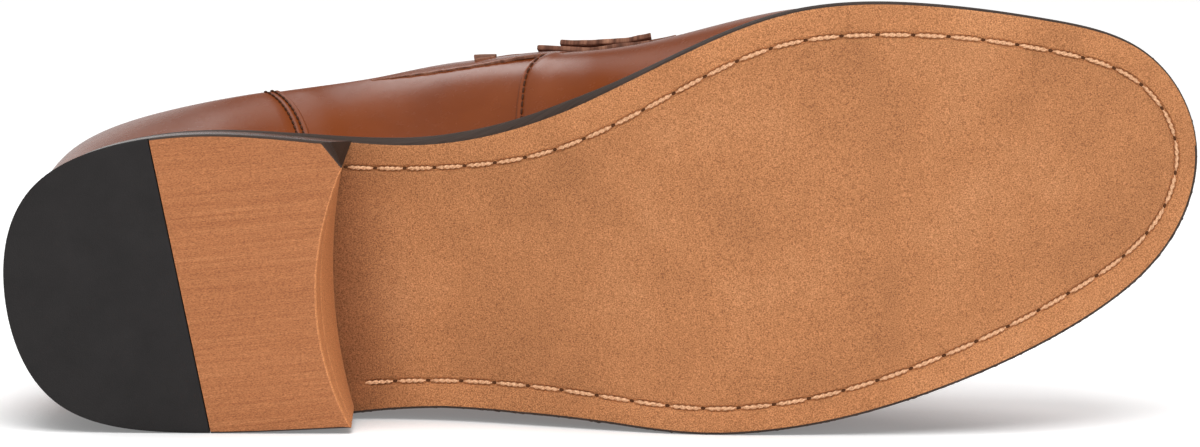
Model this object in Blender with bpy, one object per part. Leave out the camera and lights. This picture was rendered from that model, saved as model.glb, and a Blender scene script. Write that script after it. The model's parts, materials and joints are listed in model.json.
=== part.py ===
"""Left strap loafer with a leather sole, lying on its lateral side.

The shoe is designed standing, in millimetres: X from the back of the heel to the toe, Y towards the
lateral (outer) side, Z up from the ground. It is then laid on its lateral side as it comes to rest.
"""

import math

import bmesh
import bpy
import numpy as np
from mathutils import Matrix, Vector

MM = 0.001
GAP = 0.3

# Driving sizes
LENGTH = 301.2
BALL_WIDTH = 105.0
INSTEP = 88.0
HEEL_HEIGHT = 22.0
WALL = 2.0

# Sole, heel seat to toe
BREAST = 88.0
TREAD_START = 178.0
TREAD_END = 205.0
TOE_SPRING = 9.0
OUTSOLE = 4.5
OUTSOLE_CHAMFER = 0.8
WELT_LOW = OUTSOLE + GAP
WELT_HIGH = WELT_LOW + 2.2
WELT_INSET = 0.3
WELT_UNDERLAP = 0.2
UPPER_FOOT = WELT_HIGH + GAP
INSOLE_HIGH = WELT_LOW + 3.5
INSOLE_CLEAR = 0.6

# Heel: the walking layer is rubber behind a slanted split and leather ahead of it
LIFT = 5.7
SEAT_TOP = HEEL_HEIGHT - GAP
FLOOR_TAPER = -1.6
SEAT_TAPER = 0.2
HEEL_CHAMFER = 0.5
SPLIT_X = 43.06
SPLIT_SLANT = 0.0972
BREAST_CURVE_STEPS = 10
HEEL_SIDE_STEPS = 26

# Each end of the heel: lateral corner x, start and end of the cut medial corner, depth of the breast
HEEL_ENDS = {
    "floor": dict(lateral_x=82.7, cut_x=82.7, cut_end=(87.4, -19.7), hollow=7.7),
    "seat": dict(lateral_x=82.8, cut_x=89.6, cut_end=(86.3, -17.2), hollow=3.5),
}

# Sections round the last. along and ridge are hundredths of LENGTH, lateral and medial (the sole's
# edge) hundredths of BALL_WIDTH; margin (upper's foot inside the edge) and bulges are millimetres.
SECTION_COLUMNS = ("along", "lateral", "medial", "margin", "lateral_bulge", "medial_bulge", "ridge")
SECTIONS = {
    "heel_back": (0.5, 4.2, 4.2, 3.0, 3.0, 3.0, 11.3),
    "heel_round": (3.7, 30.0, -20.4, 3.0, 3.0, 3.5, 12.3),
    "heel_seat": (13.3, 39.5, -28.6, 3.0, 2.5, 6.2, 15.3),
    "heel_breast": (23.9, 41.9, -25.7, 2.5, 2.5, 12.2, 19.9),
    "waist": (34.9, 44.0, -20.7, 2.5, 5.5, 19.2, 32.5),
    "arch": (45.8, 48.5, -25.0, 3.0, 8.0, 17.5, 48.1),
    "joint": (56.4, 54.2, -36.1, 4.0, 4.5, 9.2, 57.1),
    "ball": (67.4, 54.1, -45.0, 5.0, 2.5, 4.4, 65.7),
    "tread": (78.4, 47.7, -43.3, 5.0, 2.0, 3.0, 73.4),
    "toe": (88.3, 37.5, -36.6, 5.0, 1.5, 2.0, 80.3),
    "toe_round": (96.5, 21.8, -25.6, 5.0, 1.5, 1.5, 84.7),
    "toe_tip": (100.0, -2.4, -2.4, 5.0, 1.0, 1.0, 86.0),
}

# Top line of the last: x in hundredths of LENGTH, y of BALL_WIDTH, z of INSTEP
RIDGE_COLUMNS = ("along", "across", "height")
RIDGE = {
    "above_heel": (11.3, 5.7, 127.0),
    "above_breast": (23.9, 9.5, 120.0),
    "above_waist": (34.9, 9.5, 111.5),
    "instep": (45.8, 7.1, 100.0),
    "throat": (51.5, 5.7, 91.0),
    "vamp": (56.4, 3.3, 80.7),
    "ball": (65.1, 0.0, 67.0),
    "tread": (73.4, -1.4, 59.0),
    "toe": (80.3, -1.0, 54.0),
    "toe_end": (86.0, -1.0, 50.0),
}
FULLNESS = 2.5
BULGE_RISE = 1.2
BULGE_BREADTH = 0.9
RIDGE_CLEAR = 0.03

# Collar line seen from the side
COLLAR = 59.0
COLLAR_HEEL_RISE = 7.0
COLLAR_DIP_X = 60.0
COLLAR_FRONT_X = 100.0
THROAT_X = 165.0
THROAT_RISE = 21.0
THROAT_POWER = 3.5
LATERAL_DROP = 3.0
THROAT = 5.45

# Panels stepped into the upper's wall, and the raised seam of the apron
COUNTER_X = 77.5
COUNTER_STEP = 1.0
VAMP_X = 132.7
VAMP_STEP = 0.8
STEP_WIDTH = 0.02
APRON_ANGLE = math.radians(56)
APRON_RISE = 1.2
APRON_START = 6.38
APRON_FADE = 0.3

# Tongue and straps laid across the instep. rear and front are ring places, sweep moves the rear edge
# forward at the sides; the side ends fall from a height at the rear to one at the front; low and high
# are the sheet's faces off the last. Heights and faces are millimetres.
SHEET_COLUMNS = (
    "rear", "front", "sweep", "lateral_rear", "lateral_front", "medial_rear", "medial_front", "low", "high"
)
SHEETS = {
    "tongue": (4.5, 6.45, 0.4, 62, 58, 62, 58, -4.5, -2.75),
    "strap_base": (5.15, 6.3, 0, 58, 50, 54, 43, 1.2, 3.3),
    "strap_top": (5.26, 6.03, 0, 59, 52, 55, 45, 3.6, 5.7),
}
SHEET_LENGTHS = 10
SHEET_WIDTHS = 12
HALVINGS = 50
SIDEWAYS = 0.8
NUDGE = 1e-3

RING_STEPS = 88
SIDE_ROWS = (0, 0.04, 0.11, 0.22, 0.36, 0.52, 0.68, 0.83, 0.97, 1)
TOP_ROWS = (0.045, 0.3, 0.53, 0.77, 1)

# Colour, roughness of each piece
FINISHES = {
    "outsole": ((0.50, 0.23, 0.09), 0.75),
    "welt": ((0.16, 0.08, 0.05), 0.5),
    "heel_stack": ((0.075, 0.055, 0.05), 0.4),
    "toplift_rubber": ((0.03, 0.027, 0.026), 0.8),
    "toplift_leather": ((0.52, 0.24, 0.09), 0.65),
    "insole": ((0.42, 0.22, 0.10), 0.6),
    "upper": ((0.25, 0.07, 0.022), 0.4),
    "tongue": ((0.24, 0.07, 0.024), 0.45),
    "strap_base": ((0.25, 0.07, 0.022), 0.4),
    "strap_top": ((0.25, 0.07, 0.022), 0.4),
}


def spline(knots, rows, closed=False):
    """A twice-smooth curve through rows at knots, natural at its ends or closed into a ring."""
    knots = np.asarray(knots, float)
    rows = np.asarray(rows, float)
    count = len(rows)
    values = np.vstack([rows, rows[:1]]) if closed else rows
    steps = np.diff(knots)
    slopes = np.diff(values, axis=0) / steps[:, None]
    matrix = np.eye(count)
    jumps = np.zeros_like(rows)
    inner = range(count) if closed else range(1, count - 1)
    for i in inner:
        matrix[i] = 0
        matrix[i, i - 1] += steps[i - 1]
        matrix[i, i] += 2 * (steps[i - 1] + steps[i])
        matrix[i, (i + 1) % count] += steps[i]
        jumps[i] = 6 * (slopes[i] - slopes[i - 1])
    bends = np.linalg.solve(matrix, jumps)
    if closed:
        bends = np.vstack([bends, bends[:1]])

    def at(place):
        place = np.asarray(place, float)
        place = np.mod(place, knots[-1]) if closed else np.clip(place, knots[0], knots[-1])
        i = np.clip(np.searchsorted(knots, place, side="right") - 1, 0, len(steps) - 1)
        step = steps[i][..., None]
        b = (place - knots[i])[..., None] / step
        a = 1 - b
        bent = (a**3 - a) * bends[i] + (b**3 - b) * bends[i + 1]
        return a * values[i] + b * values[i + 1] + bent * step**2 / 6

    return at


def sections_ring():
    """The sections joined into one ring: up the lateral side to the toe, back along the medial side."""
    table = dict(zip(SECTION_COLUMNS, np.array(list(SECTIONS.values())).T))

    def side(edge, bulge):
        return np.column_stack(
            [
                table["along"] * LENGTH / 100,
                table[edge] * BALL_WIDTH / 100,
                table["margin"],
                table[bulge],
                table["ridge"] * LENGTH / 100,
            ]
        )

    lateral = side("lateral", "lateral_bulge")
    medial = side("medial", "medial_bulge")
    rows = np.vstack([lateral, medial[-2:0:-1]])
    return spline(np.arange(len(rows) + 1), rows, closed=True)


def ridge_line():
    table = dict(zip(RIDGE_COLUMNS, np.array(list(RIDGE.values())).T / 100))
    line = np.column_stack([table["across"] * BALL_WIDTH, table["height"] * INSTEP])
    return spline(table["along"] * LENGTH, line)


ring = sections_ring()
ridge = ridge_line()
TOE = len(SECTIONS) - 1
RING = 2 * TOE


def sole_bottom(x):
    """Height of the sole's underside: heel seat, arch, tread on the ground and toe spring."""
    t = np.clip((x - BREAST) / (TREAD_START - BREAST), 0, 1)
    arch = HEEL_HEIGHT * (1 - t * t * (3 - 2 * t))
    spring = np.clip((x - TREAD_END) / (LENGTH - TREAD_END), 0, None)
    return arch + TOE_SPRING * spring**2


def outward(place):
    """Level unit vector out of the ring."""
    along = (ring(place + NUDGE) - ring(place - NUDGE))[..., :2]
    out = np.stack([-along[..., 1], along[..., 0]], axis=-1)
    return out / np.linalg.norm(out, axis=-1, keepdims=True)


def edge(place, inset):
    """Plan points of the sole's edge, moved in by inset."""
    inset = np.broadcast_to(inset, np.shape(place))
    return ring(place)[..., :2] - outward(place) * inset[..., None]


def place_at(x, medial):
    """The ring's place where the sole's edge has this x, on one side."""
    low, high = 0.0, float(TOE)
    for _ in range(HALVINGS):
        middle = (low + high) / 2
        if ring(middle)[0] < x:
            low = middle
        else:
            high = middle
    return RING - low if medial else low


def last(place, angle):
    """Points on the side of the last. angle is 0 at the sole and a right angle on the ridge."""
    x, y, margin, bulge, ridge_x = np.moveaxis(ring(place), -1, 0)
    out = outward(place)
    foot = np.stack([x, y], axis=-1) - out * margin[..., None]
    foot_z = sole_bottom(foot[..., 0]) + UPPER_FOOT
    ridge_y, ridge_z = np.moveaxis(ridge(ridge_x), -1, 0)
    reach = np.stack([ridge_x, ridge_y], axis=-1) - foot
    inwards = out * np.sum(reach * out, axis=-1, keepdims=True)
    height = np.sin(angle) ** (2 / FULLNESS)
    drawn_in = 1 - np.cos(angle) ** (2 / FULLNESS)
    swell = bulge * np.abs(np.sin(math.pi * height**BULGE_RISE)) ** BULGE_BREADTH
    plan = foot + inwards * drawn_in[..., None] + (reach - inwards) * height[..., None]
    plan = plan + out * swell[..., None]
    z = foot_z + (ridge_z - foot_z) * height
    return np.concatenate([plan, z[..., None]], axis=-1)


def last_normal(place, angle):
    """Unit vectors out of the last."""
    angle = np.clip(angle, 2 * NUDGE, math.pi / 2 - RIDGE_CLEAR)
    round_it = last(place + NUDGE, angle) - last(place - NUDGE, angle)
    up_it = last(place, angle + NUDGE) - last(place, angle - NUDGE)
    normal = np.cross(up_it, round_it)
    return normal / np.linalg.norm(normal, axis=-1, keepdims=True)


def rise_angle(place, limit):
    """The rib angle at which each rib first passes limit(x, lateral), at most a right angle."""
    low = np.zeros_like(place)
    high = np.full_like(place, math.pi / 2)
    for _ in range(HALVINGS):
        middle = (low + high) / 2
        point = last(place, middle)
        above = point[..., 2] > limit(point[..., 0], place < TOE)
        high = np.where(above, middle, high)
        low = np.where(above, low, middle)
    return high


def collar(x, lateral):
    heel = COLLAR_HEEL_RISE * np.clip((COLLAR_DIP_X - x) / COLLAR_DIP_X, 0, None) ** 2
    rise = np.clip((x - COLLAR_FRONT_X) / (THROAT_X - COLLAR_FRONT_X), 0, None)
    drop = LATERAL_DROP * np.sin(math.pi * np.clip(x / THROAT_X, 0, 1)) * lateral
    return COLLAR + heel + THROAT_RISE * rise**THROAT_POWER - drop


def ring_places(extra=()):
    """Places round the ring, the same on both sides, with extra ones in place of those beside them."""
    extra = np.array(sorted(extra))
    even = np.linspace(0, TOE, RING_STEPS // 2 + 1)
    spacing = even[1] / 2
    kept = [u for u in even if not len(extra) or u in (0, TOE) or np.abs(extra - u).min() > spacing]
    lateral = np.array(sorted([*kept, *extra]))
    return np.concatenate([lateral, RING - lateral[-2:0:-1]])


def add_object(name, bm):
    """A smooth-shaded object with its own finish, from a bmesh in millimetres."""
    bmesh.ops.remove_doubles(bm, verts=bm.verts, dist=1e-4)
    bmesh.ops.recalc_face_normals(bm, faces=bm.faces)
    bmesh.ops.scale(bm, vec=(MM, MM, MM), verts=bm.verts)
    mesh = bpy.data.meshes.new(name)
    bm.to_mesh(mesh)
    bm.free()
    mesh.shade_smooth()
    mesh.set_sharp_from_angle(angle=math.radians(40))
    colour, roughness = FINISHES[name]
    material = bpy.data.materials.new(name)
    material.use_nodes = True
    shader = material.node_tree.nodes["Principled BSDF"]
    shader.inputs["Base Color"].default_value = (*colour, 1)
    shader.inputs["Roughness"].default_value = roughness
    mesh.materials.append(material)
    piece = bpy.data.objects.new(name, mesh)
    bpy.context.scene.collection.objects.link(piece)
    return piece


def rows_of_verts(bm, loops):
    return [[bm.verts.new(point) for point in loop] for loop in loops]


def skin(bm, rows, closed_loops):
    """Quads between neighbouring rows of vertices."""
    for row, following in zip(rows, rows[1:]):
        count = len(row) if closed_loops else len(row) - 1
        for k in range(count):
            after = (k + 1) % len(row)
            bm.faces.new([row[k], row[after], following[after], following[k]])


def cap_across(bm, row):
    """Closes a loop round the shoe with strips from its lateral to its medial side."""
    count = len(row)
    for k in range(count // 2):
        corners = [row[k], row[k + 1], row[-(k + 1) % count], row[-k % count]]
        bm.faces.new(list(dict.fromkeys(corners)))


def level_loop(places, inset, rise):
    plan = edge(places, inset)
    return np.column_stack([plan, sole_bottom(plan[:, 0]) + rise])


def add_outsole():
    places = ring_places()
    profile = [(OUTSOLE_CHAMFER, 0), (0, OUTSOLE_CHAMFER), (0, OUTSOLE - OUTSOLE_CHAMFER)]
    profile.append((OUTSOLE_CHAMFER, OUTSOLE))
    bm = bmesh.new()
    rows = rows_of_verts(bm, [level_loop(places, inset, rise) for inset, rise in profile])
    skin(bm, rows, closed_loops=True)
    cap_across(bm, rows[0])
    cap_across(bm, rows[-1])
    return add_object("outsole", bm)


def add_welt():
    places = ring_places()
    inside = ring(places)[:, 2] + WALL + WELT_UNDERLAP
    corners = [(WELT_INSET, WELT_LOW), (WELT_INSET, WELT_HIGH), (inside, WELT_HIGH), (inside, WELT_LOW)]
    bm = bmesh.new()
    rows = rows_of_verts(bm, [level_loop(places, inset, rise) for inset, rise in corners])
    skin(bm, [*rows, rows[0]], closed_loops=True)
    return add_object("welt", bm)


def add_insole():
    places = ring_places()
    inset = ring(places)[:, 2] + WALL + INSOLE_CLEAR
    bm = bmesh.new()
    rows = rows_of_verts(bm, [level_loop(places, inset, rise) for rise in (WELT_LOW, INSOLE_HIGH)])
    skin(bm, rows, closed_loops=True)
    for row in rows:
        cap_across(bm, row)
    return add_object("insole", bm)


def heel_outline(share):
    """Heel outline, share 0 on the floor and 1 at the seat: side round the back, cut corner, breast."""
    ends = []
    for name, taper in (("floor", FLOOR_TAPER), ("seat", SEAT_TAPER)):
        end = HEEL_ENDS[name]
        start = place_at(end["lateral_x"], medial=False)
        stop = place_at(end["cut_x"], medial=True) - RING
        side = edge(np.linspace(start, stop, HEEL_SIDE_STEPS + 1), taper)
        t = np.linspace(0, 1, BREAST_CURVE_STEPS + 1)[:-1, None]
        breast = np.array(end["cut_end"]) * (1 - t) + side[0] * t
        breast = breast - np.array([4 * end["hollow"], 0]) * t * (1 - t)
        ends.append(np.vstack([side, breast]))
    return ends[0] * (1 - share) + ends[1] * share


def cut_by_split(loop, rear):
    """The part of a heel loop behind or ahead of the split, half a gap away from it."""
    offset = -GAP / 2 if rear else GAP / 2
    ahead = loop[:, 0] - SPLIT_X - SPLIT_SLANT * loop[:, 1] - offset
    kept = []
    for k in range(len(loop)):
        after = (k + 1) % len(loop)
        if (ahead[k] < 0) == rear:
            kept.append(loop[k])
        if ahead[k] * ahead[after] < 0:
            share = ahead[k] / (ahead[k] - ahead[after])
            kept.append(loop[k] * (1 - share) + loop[after] * share)
    return np.array(kept)


def shrunk(loop, inset):
    """A plan loop moved in by inset, along the mean of its neighbouring edges' normals."""
    along = np.roll(loop, -1, axis=0) - np.roll(loop, 1, axis=0)
    inwards = np.column_stack([along[:, 1], -along[:, 0]])
    inwards = inwards / np.linalg.norm(inwards, axis=1, keepdims=True)
    area = np.sum(loop[:, 0] * np.roll(loop[:, 1], -1) - np.roll(loop[:, 0], -1) * loop[:, 1])
    return loop - inwards * inset * math.copysign(1, area)


def add_heel_layer(name, low, high, part=None):
    """A layer of the heel between two heights, whole or on one side of the split, with eased edges."""
    levels = [(low, HEEL_CHAMFER), (low + HEEL_CHAMFER, 0), (high - HEEL_CHAMFER, 0), (high, HEEL_CHAMFER)]
    loops = []
    for z, inset in levels:
        loop = heel_outline(z / HEEL_HEIGHT)
        if part:
            loop = cut_by_split(loop, rear=part == "rear")
        loop = shrunk(loop, inset)
        loops.append(np.column_stack([loop, np.full(len(loop), z)]))
    bm = bmesh.new()
    rows = rows_of_verts(bm, loops)
    skin(bm, rows, closed_loops=True)
    bm.faces.new(rows[0])
    bm.faces.new(rows[-1])
    return add_object(name, bm)


def panel_rises(places):
    """How far the outer face stands out at each rib, where counter and vamp lie over the quarters."""
    side = np.minimum(places, RING - places)
    counter = place_at(COUNTER_X, medial=False)
    vamp = place_at(VAMP_X, medial=False)
    return np.where(side < counter, COUNTER_STEP, 0) + np.where(side > vamp, VAMP_STEP, 0)


def wall_faces(places, angles, rises):
    """Outer and inner face of the upper's wall, as grids of points."""
    grid = np.broadcast_to(places[:, None], angles.shape)
    middle = last(grid, angles)
    normal = last_normal(grid, angles)
    return middle + normal * rises[..., None], middle - normal * WALL


def add_upper():
    """The sides up to the collar and the apron's seam, and the vamp's top between the seams."""
    seams = [place_at(x, medial=False) for x in (COUNTER_X, VAMP_X)]
    steps = [seam + turn * STEP_WIDTH / 2 for seam in seams for turn in (-1, 1)]
    places = ring_places([THROAT, *steps])
    side = np.minimum(places, RING - places)
    count = len(places)
    panels = panel_rises(places)[:, None]
    seam = APRON_RISE * np.clip((side - APRON_START) / APRON_FADE, 0, 1)[:, None]

    rows = np.array(SIDE_ROWS)
    reach = np.where(side < THROAT, np.minimum(rise_angle(places, collar), APRON_ANGLE), APRON_ANGLE)
    walls = wall_faces(places, reach[:, None] * rows, panels + seam * (rows == 1))
    foot_z = last(places, np.zeros(count))[:, 2]
    for face in walls:
        face[:, 0, 2] = foot_z

    top = np.flatnonzero(side >= THROAT)
    rows = np.array(TOP_ROWS)
    angles = APRON_ANGLE + (math.pi / 2 - APRON_ANGLE) * np.tile(rows, (len(top), 1))
    tops = wall_faces(places[top], angles, np.tile(panels[top], (1, len(rows))))
    for face in tops:
        face[:, -1] = (face[:, -1] + face[::-1, -1]) / 2

    bm = bmesh.new()
    sides = [rows_of_verts(bm, np.moveaxis(face, 1, 0)) for face in walls]
    vamps = []
    for low, face in zip(sides, tops):
        vamps.append([[low[-1][k] for k in top], *rows_of_verts(bm, np.moveaxis(face, 1, 0))])
    for low, high in zip(sides, vamps):
        skin(bm, low, closed_loops=True)
        skin(bm, high, closed_loops=False)
    skin(bm, [sides[0][0], sides[1][0]], closed_loops=True)
    open_rim = [*range(top[-1], count), *range(top[0] + 1)]
    skin(bm, [[face[-1][k] for k in open_rim] for face in sides], closed_loops=False)
    for k in (0, -1):
        skin(bm, [[row[k] for row in face] for face in vamps], closed_loops=False)
    return add_object("upper", bm)


def add_sheet(name):
    """A sheet laid across the instep, low to high off the last.

    On each side it ends at a height that falls from its rear to its front, and its rear edge is swept
    forward there.
    """
    sheet = dict(zip(SHEET_COLUMNS, SHEETS[name]))
    across = np.linspace(0, 1, SHEET_LENGTHS + 1)
    along = np.linspace(0, 1, SHEET_WIDTHS + 1)[:, None]
    start = sheet["rear"] + sheet["sweep"] * (1 - across) ** 2
    stations = start + (sheet["front"] - start) * along
    half = []
    for places, side in ((stations, "lateral"), (RING - stations, "medial")):
        height = sheet[side + "_rear"] * (1 - along) + sheet[side + "_front"] * along
        end = rise_angle(places, lambda x, lateral, height=height: height)
        angles = end + (math.pi / 2 - end) * across
        half.append((last(places, angles), last_normal(places, angles)))
    layers = []
    for height in (sheet["high"], sheet["low"]):
        lateral, medial = (point + normal * height for point, normal in half)
        top = (lateral[:, -1:] + medial[:, -1:]) / 2
        layers.append(np.concatenate([lateral[:, :-1], top, medial[:, -2::-1]], axis=1))
    bm = bmesh.new()
    upper_side, under_side = (rows_of_verts(bm, layer) for layer in layers)
    for face in (upper_side, under_side):
        skin(bm, face, closed_loops=False)
    for k in (0, -1):
        skin(bm, [upper_side[k], under_side[k]], closed_loops=False)
        skin(bm, [[row[k] for row in upper_side], [row[k] for row in under_side]], closed_loops=False)
    return add_object(name, bm)


def points_of(pieces):
    return np.array([vertex.co for piece in pieces for vertex in piece.data.vertices], float)


def centre_of_mass(pieces):
    moment = Vector()
    volume = 0.0
    for piece in pieces:
        mesh = piece.data
        mesh.calc_loop_triangles()
        for triangle in mesh.loop_triangles:
            a, b, c = (mesh.vertices[i].co for i in triangle.vertices)
            share = a.dot(b.cross(c)) / 6
            moment += share * (a + b + c) / 4
            volume += share
    return moment / volume


def resting_face(pieces, centre):
    """Outward normal of the hull's face on the lateral side that the centre of mass lies over."""
    bm = bmesh.new()
    for point in points_of(pieces):
        bm.verts.new(point)
    bmesh.ops.convex_hull(bm, input=bm.verts)
    bmesh.ops.triangulate(bm, faces=bm.faces)
    found = None
    for face in bm.faces:
        normal = face.normal if face.normal.dot(face.calc_center_median() - centre) > 0 else -face.normal
        if normal.y < SIDEWAYS:
            continue
        corners = [vertex.co - centre for vertex in face.verts]
        turns = [normal.dot(a.cross(b)) for a, b in zip(corners, corners[1:] + corners[:1])]
        if min(turns) > 0 or max(turns) < 0:
            found = normal.copy()
    bm.free()
    return found


def lay_on_side(pieces, unloaded):
    """Turns the shoe so that its resting face is on the floor, with the toe to +X and the sole to -Y."""
    bearing = [piece for piece in pieces if piece.name not in unloaded]
    up = -resting_face(bearing, centre_of_mass(pieces))
    forward = (Vector((1, 0, 0)) - up * up.x).normalized()
    turn = Matrix((forward, up.cross(forward), up))
    laid = points_of(pieces) @ np.array(turn).T
    low, high = laid.min(axis=0), laid.max(axis=0)
    low_bearing = (points_of(bearing) @ np.array(turn).T)[:, 2].min()
    shoe = bpy.data.objects.new("shoe", None)
    bpy.context.scene.collection.objects.link(shoe)
    shift = Vector((-(low[0] + high[0]) / 2, -(low[1] + high[1]) / 2, -low_bearing))
    shoe.matrix_world = Matrix.Translation(shift) @ turn.to_4x4()
    for piece in pieces:
        piece.parent = shoe


def main():
    for thing in list(bpy.data.objects):
        bpy.data.objects.remove(thing)
    pieces = [
        add_outsole(),
        add_welt(),
        add_heel_layer("heel_stack", LIFT + GAP, SEAT_TOP),
        add_heel_layer("toplift_rubber", 0, LIFT, "rear"),
        add_heel_layer("toplift_leather", 0, LIFT, "front"),
        add_insole(),
        add_upper(),
        *(add_sheet(name) for name in SHEETS),
    ]
    lay_on_side(pieces, unloaded=("strap_base", "strap_top"))


main()
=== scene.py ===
# %% [markdown]
# # A strap loafer, finished over its solids
# The imported solids already have the right shape and place. This script dresses them: every piece is
# modelled again with rounded edges, seams and thread, and gets a leather, rubber or thread finish.
# It starts by loading the solids.

# %% Load the solids
import json
import math

import bmesh
import bpy
import numpy as np
from mathutils import Matrix, Vector


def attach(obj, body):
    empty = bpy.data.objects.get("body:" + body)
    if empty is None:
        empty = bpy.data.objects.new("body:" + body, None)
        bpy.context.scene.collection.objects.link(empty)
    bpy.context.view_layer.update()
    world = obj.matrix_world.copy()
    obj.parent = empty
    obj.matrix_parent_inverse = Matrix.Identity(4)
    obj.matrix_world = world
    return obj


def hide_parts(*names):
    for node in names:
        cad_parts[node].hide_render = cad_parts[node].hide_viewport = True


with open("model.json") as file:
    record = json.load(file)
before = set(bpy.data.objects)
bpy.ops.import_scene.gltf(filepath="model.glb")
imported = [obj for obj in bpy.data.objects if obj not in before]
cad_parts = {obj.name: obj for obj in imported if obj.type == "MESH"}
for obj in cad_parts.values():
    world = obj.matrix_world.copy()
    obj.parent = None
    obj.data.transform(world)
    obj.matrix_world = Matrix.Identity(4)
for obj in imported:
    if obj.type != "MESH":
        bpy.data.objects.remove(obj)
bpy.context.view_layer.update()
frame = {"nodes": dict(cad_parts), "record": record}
print("solids:", sorted(frame["nodes"]))

# %% [markdown]
# ## The standing frame
# A shoe is easiest to think about as it stands: X from heel to toe, Y to the lateral (outer) side, Z up,
# in millimetres. The part lies on its side, so each mesh is made standing and then laid down. The two
# flat faces in the record, under the heel and under the tread, say exactly how it lies.

# %% Lay a standing point down
MM = 0.001
HEEL_MOUNT = Vector((0.020, 0.005, 0))
mounts = {mount["name"]: mount for mount in frame["record"]["mounts"]}
heel_at = Vector(mounts["heel_floor_face"]["pos_m"])
tread_at = Vector(mounts["tread_face"]["pos_m"])
up = -Vector(mounts["heel_floor_face"]["axis"]).normalized()
forward = tread_at - heel_at
forward = (forward - up * forward.dot(up)).normalized()
turn = Matrix((forward, up.cross(forward), up)).transposed()
lie_down = Matrix.Translation(heel_at) @ turn.to_4x4() @ Matrix.Translation(-HEEL_MOUNT)
print("toe points along", [round(x, 3) for x in forward])

# %% [markdown]
# ## Camera, floor and light
# The picture looks at the sole from just above the floor, a little from the medial side, with a long lens.
# The camera is placed in the standing frame, where those angles are plain, and laid down with the shoe.
# The floor is one pale plane that glows a little, as a lit table does. Its shade could be left to the lights
# alone, but so much glow would wash it out, so ambient occlusion darkens the floor where the shoe closes it
# off. Light is a studio's: a low box beside the camera fills the sole, a box above the camera whitens the
# floor, and two boxes behind the shoe draw the soft shine along the top of its side. Nothing bright hangs
# steeply behind, so the lower side stays deep brown, and Standard colours keep the leather's saturation.

# %% Camera
IMAGE_WIDTH = 1200
FOCAL_PIXELS = 5206.5
SENSOR = 36
NEAREST = 0.05
CAMERA_AT = Vector((149.85, -180.08, -1287.47)) * MM
CAMERA_LOOKS = Vector((0, 0.13917, 0.99027))
CAMERA_UP = Vector((0.09984, -0.98532, 0.13848))

eye = bpy.data.objects.new("camera", bpy.data.cameras.new("camera"))
bpy.context.scene.collection.objects.link(eye)
eye.data.sensor_width = SENSOR
eye.data.lens = FOCAL_PIXELS * SENSOR / IMAGE_WIDTH
eye.data.clip_start = NEAREST
axes = Matrix((CAMERA_LOOKS.cross(CAMERA_UP), CAMERA_UP, -CAMERA_LOOKS)).transposed()
eye.matrix_world = lie_down @ Matrix.Translation(CAMERA_AT) @ axes.to_4x4()
bpy.context.scene.camera = eye
print("camera at", [round(x, 3) for x in eye.matrix_world.translation])

# %% Node helpers
def node(tree, kind, inputs=None, **settings):
    """Adds a shader node. Each input is a plain value, or another node's output that is linked to it."""
    made = tree.nodes.new(kind)
    for key, value in settings.items():
        setattr(made, key, value)
    for key, value in (inputs or {}).items():
        if isinstance(value, bpy.types.NodeSocket):
            tree.links.new(value, made.inputs[key])
        else:
            made.inputs[key].default_value = value
    return made


def new_finish(name, **sockets):
    """A material whose constant values are set on the shader's own sockets."""
    material = bpy.data.materials.new(name)
    material.use_nodes = True
    shader = material.node_tree.nodes["Principled BSDF"]
    for key, value in sockets.items():
        shader.inputs[key.replace("_", " ")].default_value = value
    return material, material.node_tree, shader


def smooth_range(tree, value, start, stop, low=0.0, high=1.0):
    """Eases from low to high while the value goes from start to stop."""
    limits = {"Value": value, "From Min": start, "From Max": stop, "To Min": low, "To Max": high}
    return node(tree, "ShaderNodeMapRange", limits, interpolation_type="SMOOTHSTEP").outputs["Result"]


# %% Floor
FLOOR_HALF = 6
FLOOR_TONE = 0.92
FLOOR_GLOW = 0.4
SHADE_REACH = 0.04
SHADE_SAMPLES = 16
# How open the floor is where the shade is deepest and where it ends, and the share of light left in it
SHADE_OPEN = (0.2, 0.9)
SHADE_DARKEST = 0.5

floor_finish, tree, shader = new_finish("floor_finish", Roughness=0.9, Emission_Color=(1, 1, 1, 1))
reach = {"Distance": SHADE_REACH}
opened = node(tree, "ShaderNodeAmbientOcclusion", reach, samples=SHADE_SAMPLES).outputs["AO"]
for socket, level in (("Base Color", FLOOR_TONE), ("Emission Strength", FLOOR_GLOW)):
    shade = smooth_range(tree, opened, *SHADE_OPEN, SHADE_DARKEST * level, level)
    tree.links.new(shade, shader.inputs[socket])
bm = bmesh.new()
bmesh.ops.create_grid(bm, x_segments=1, y_segments=1, size=FLOOR_HALF)
mesh = bpy.data.meshes.new("floor")
bm.to_mesh(mesh)
bm.free()
mesh.materials.append(floor_finish)
floor = bpy.data.objects.new("floor", mesh)
bpy.context.scene.collection.objects.link(floor)
print("floor", 2 * FLOOR_HALF, "m across")

# %% Light
WORLD_LIGHT = 0.22
LIGHT_AIM = Vector((0, 0, 0.05))
# Place, width, height and watts of each soft box
SOFT_BOXES = {
    "backdrop": ((-0.5, 1.38, 1.53), 0.58, 0.8, 4.6),
    "low_backdrop": ((0.0, 2.0, 0.4), 3.0, 0.7, 4.2),
    "fill": ((0.7, -1.9, 0.6), 1.8, 0.9, 11.8),
    "top": ((0.0, -0.75, 1.6), 1.2, 1.2, 26.5),
}
world = bpy.data.worlds.new("studio")
bpy.context.scene.world = world
world.use_nodes = True
background = world.node_tree.nodes["Background"]
background.inputs["Color"].default_value = (1, 1, 1, 1)
background.inputs["Strength"].default_value = WORLD_LIGHT
bpy.context.scene.view_settings.view_transform = "Standard"

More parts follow.
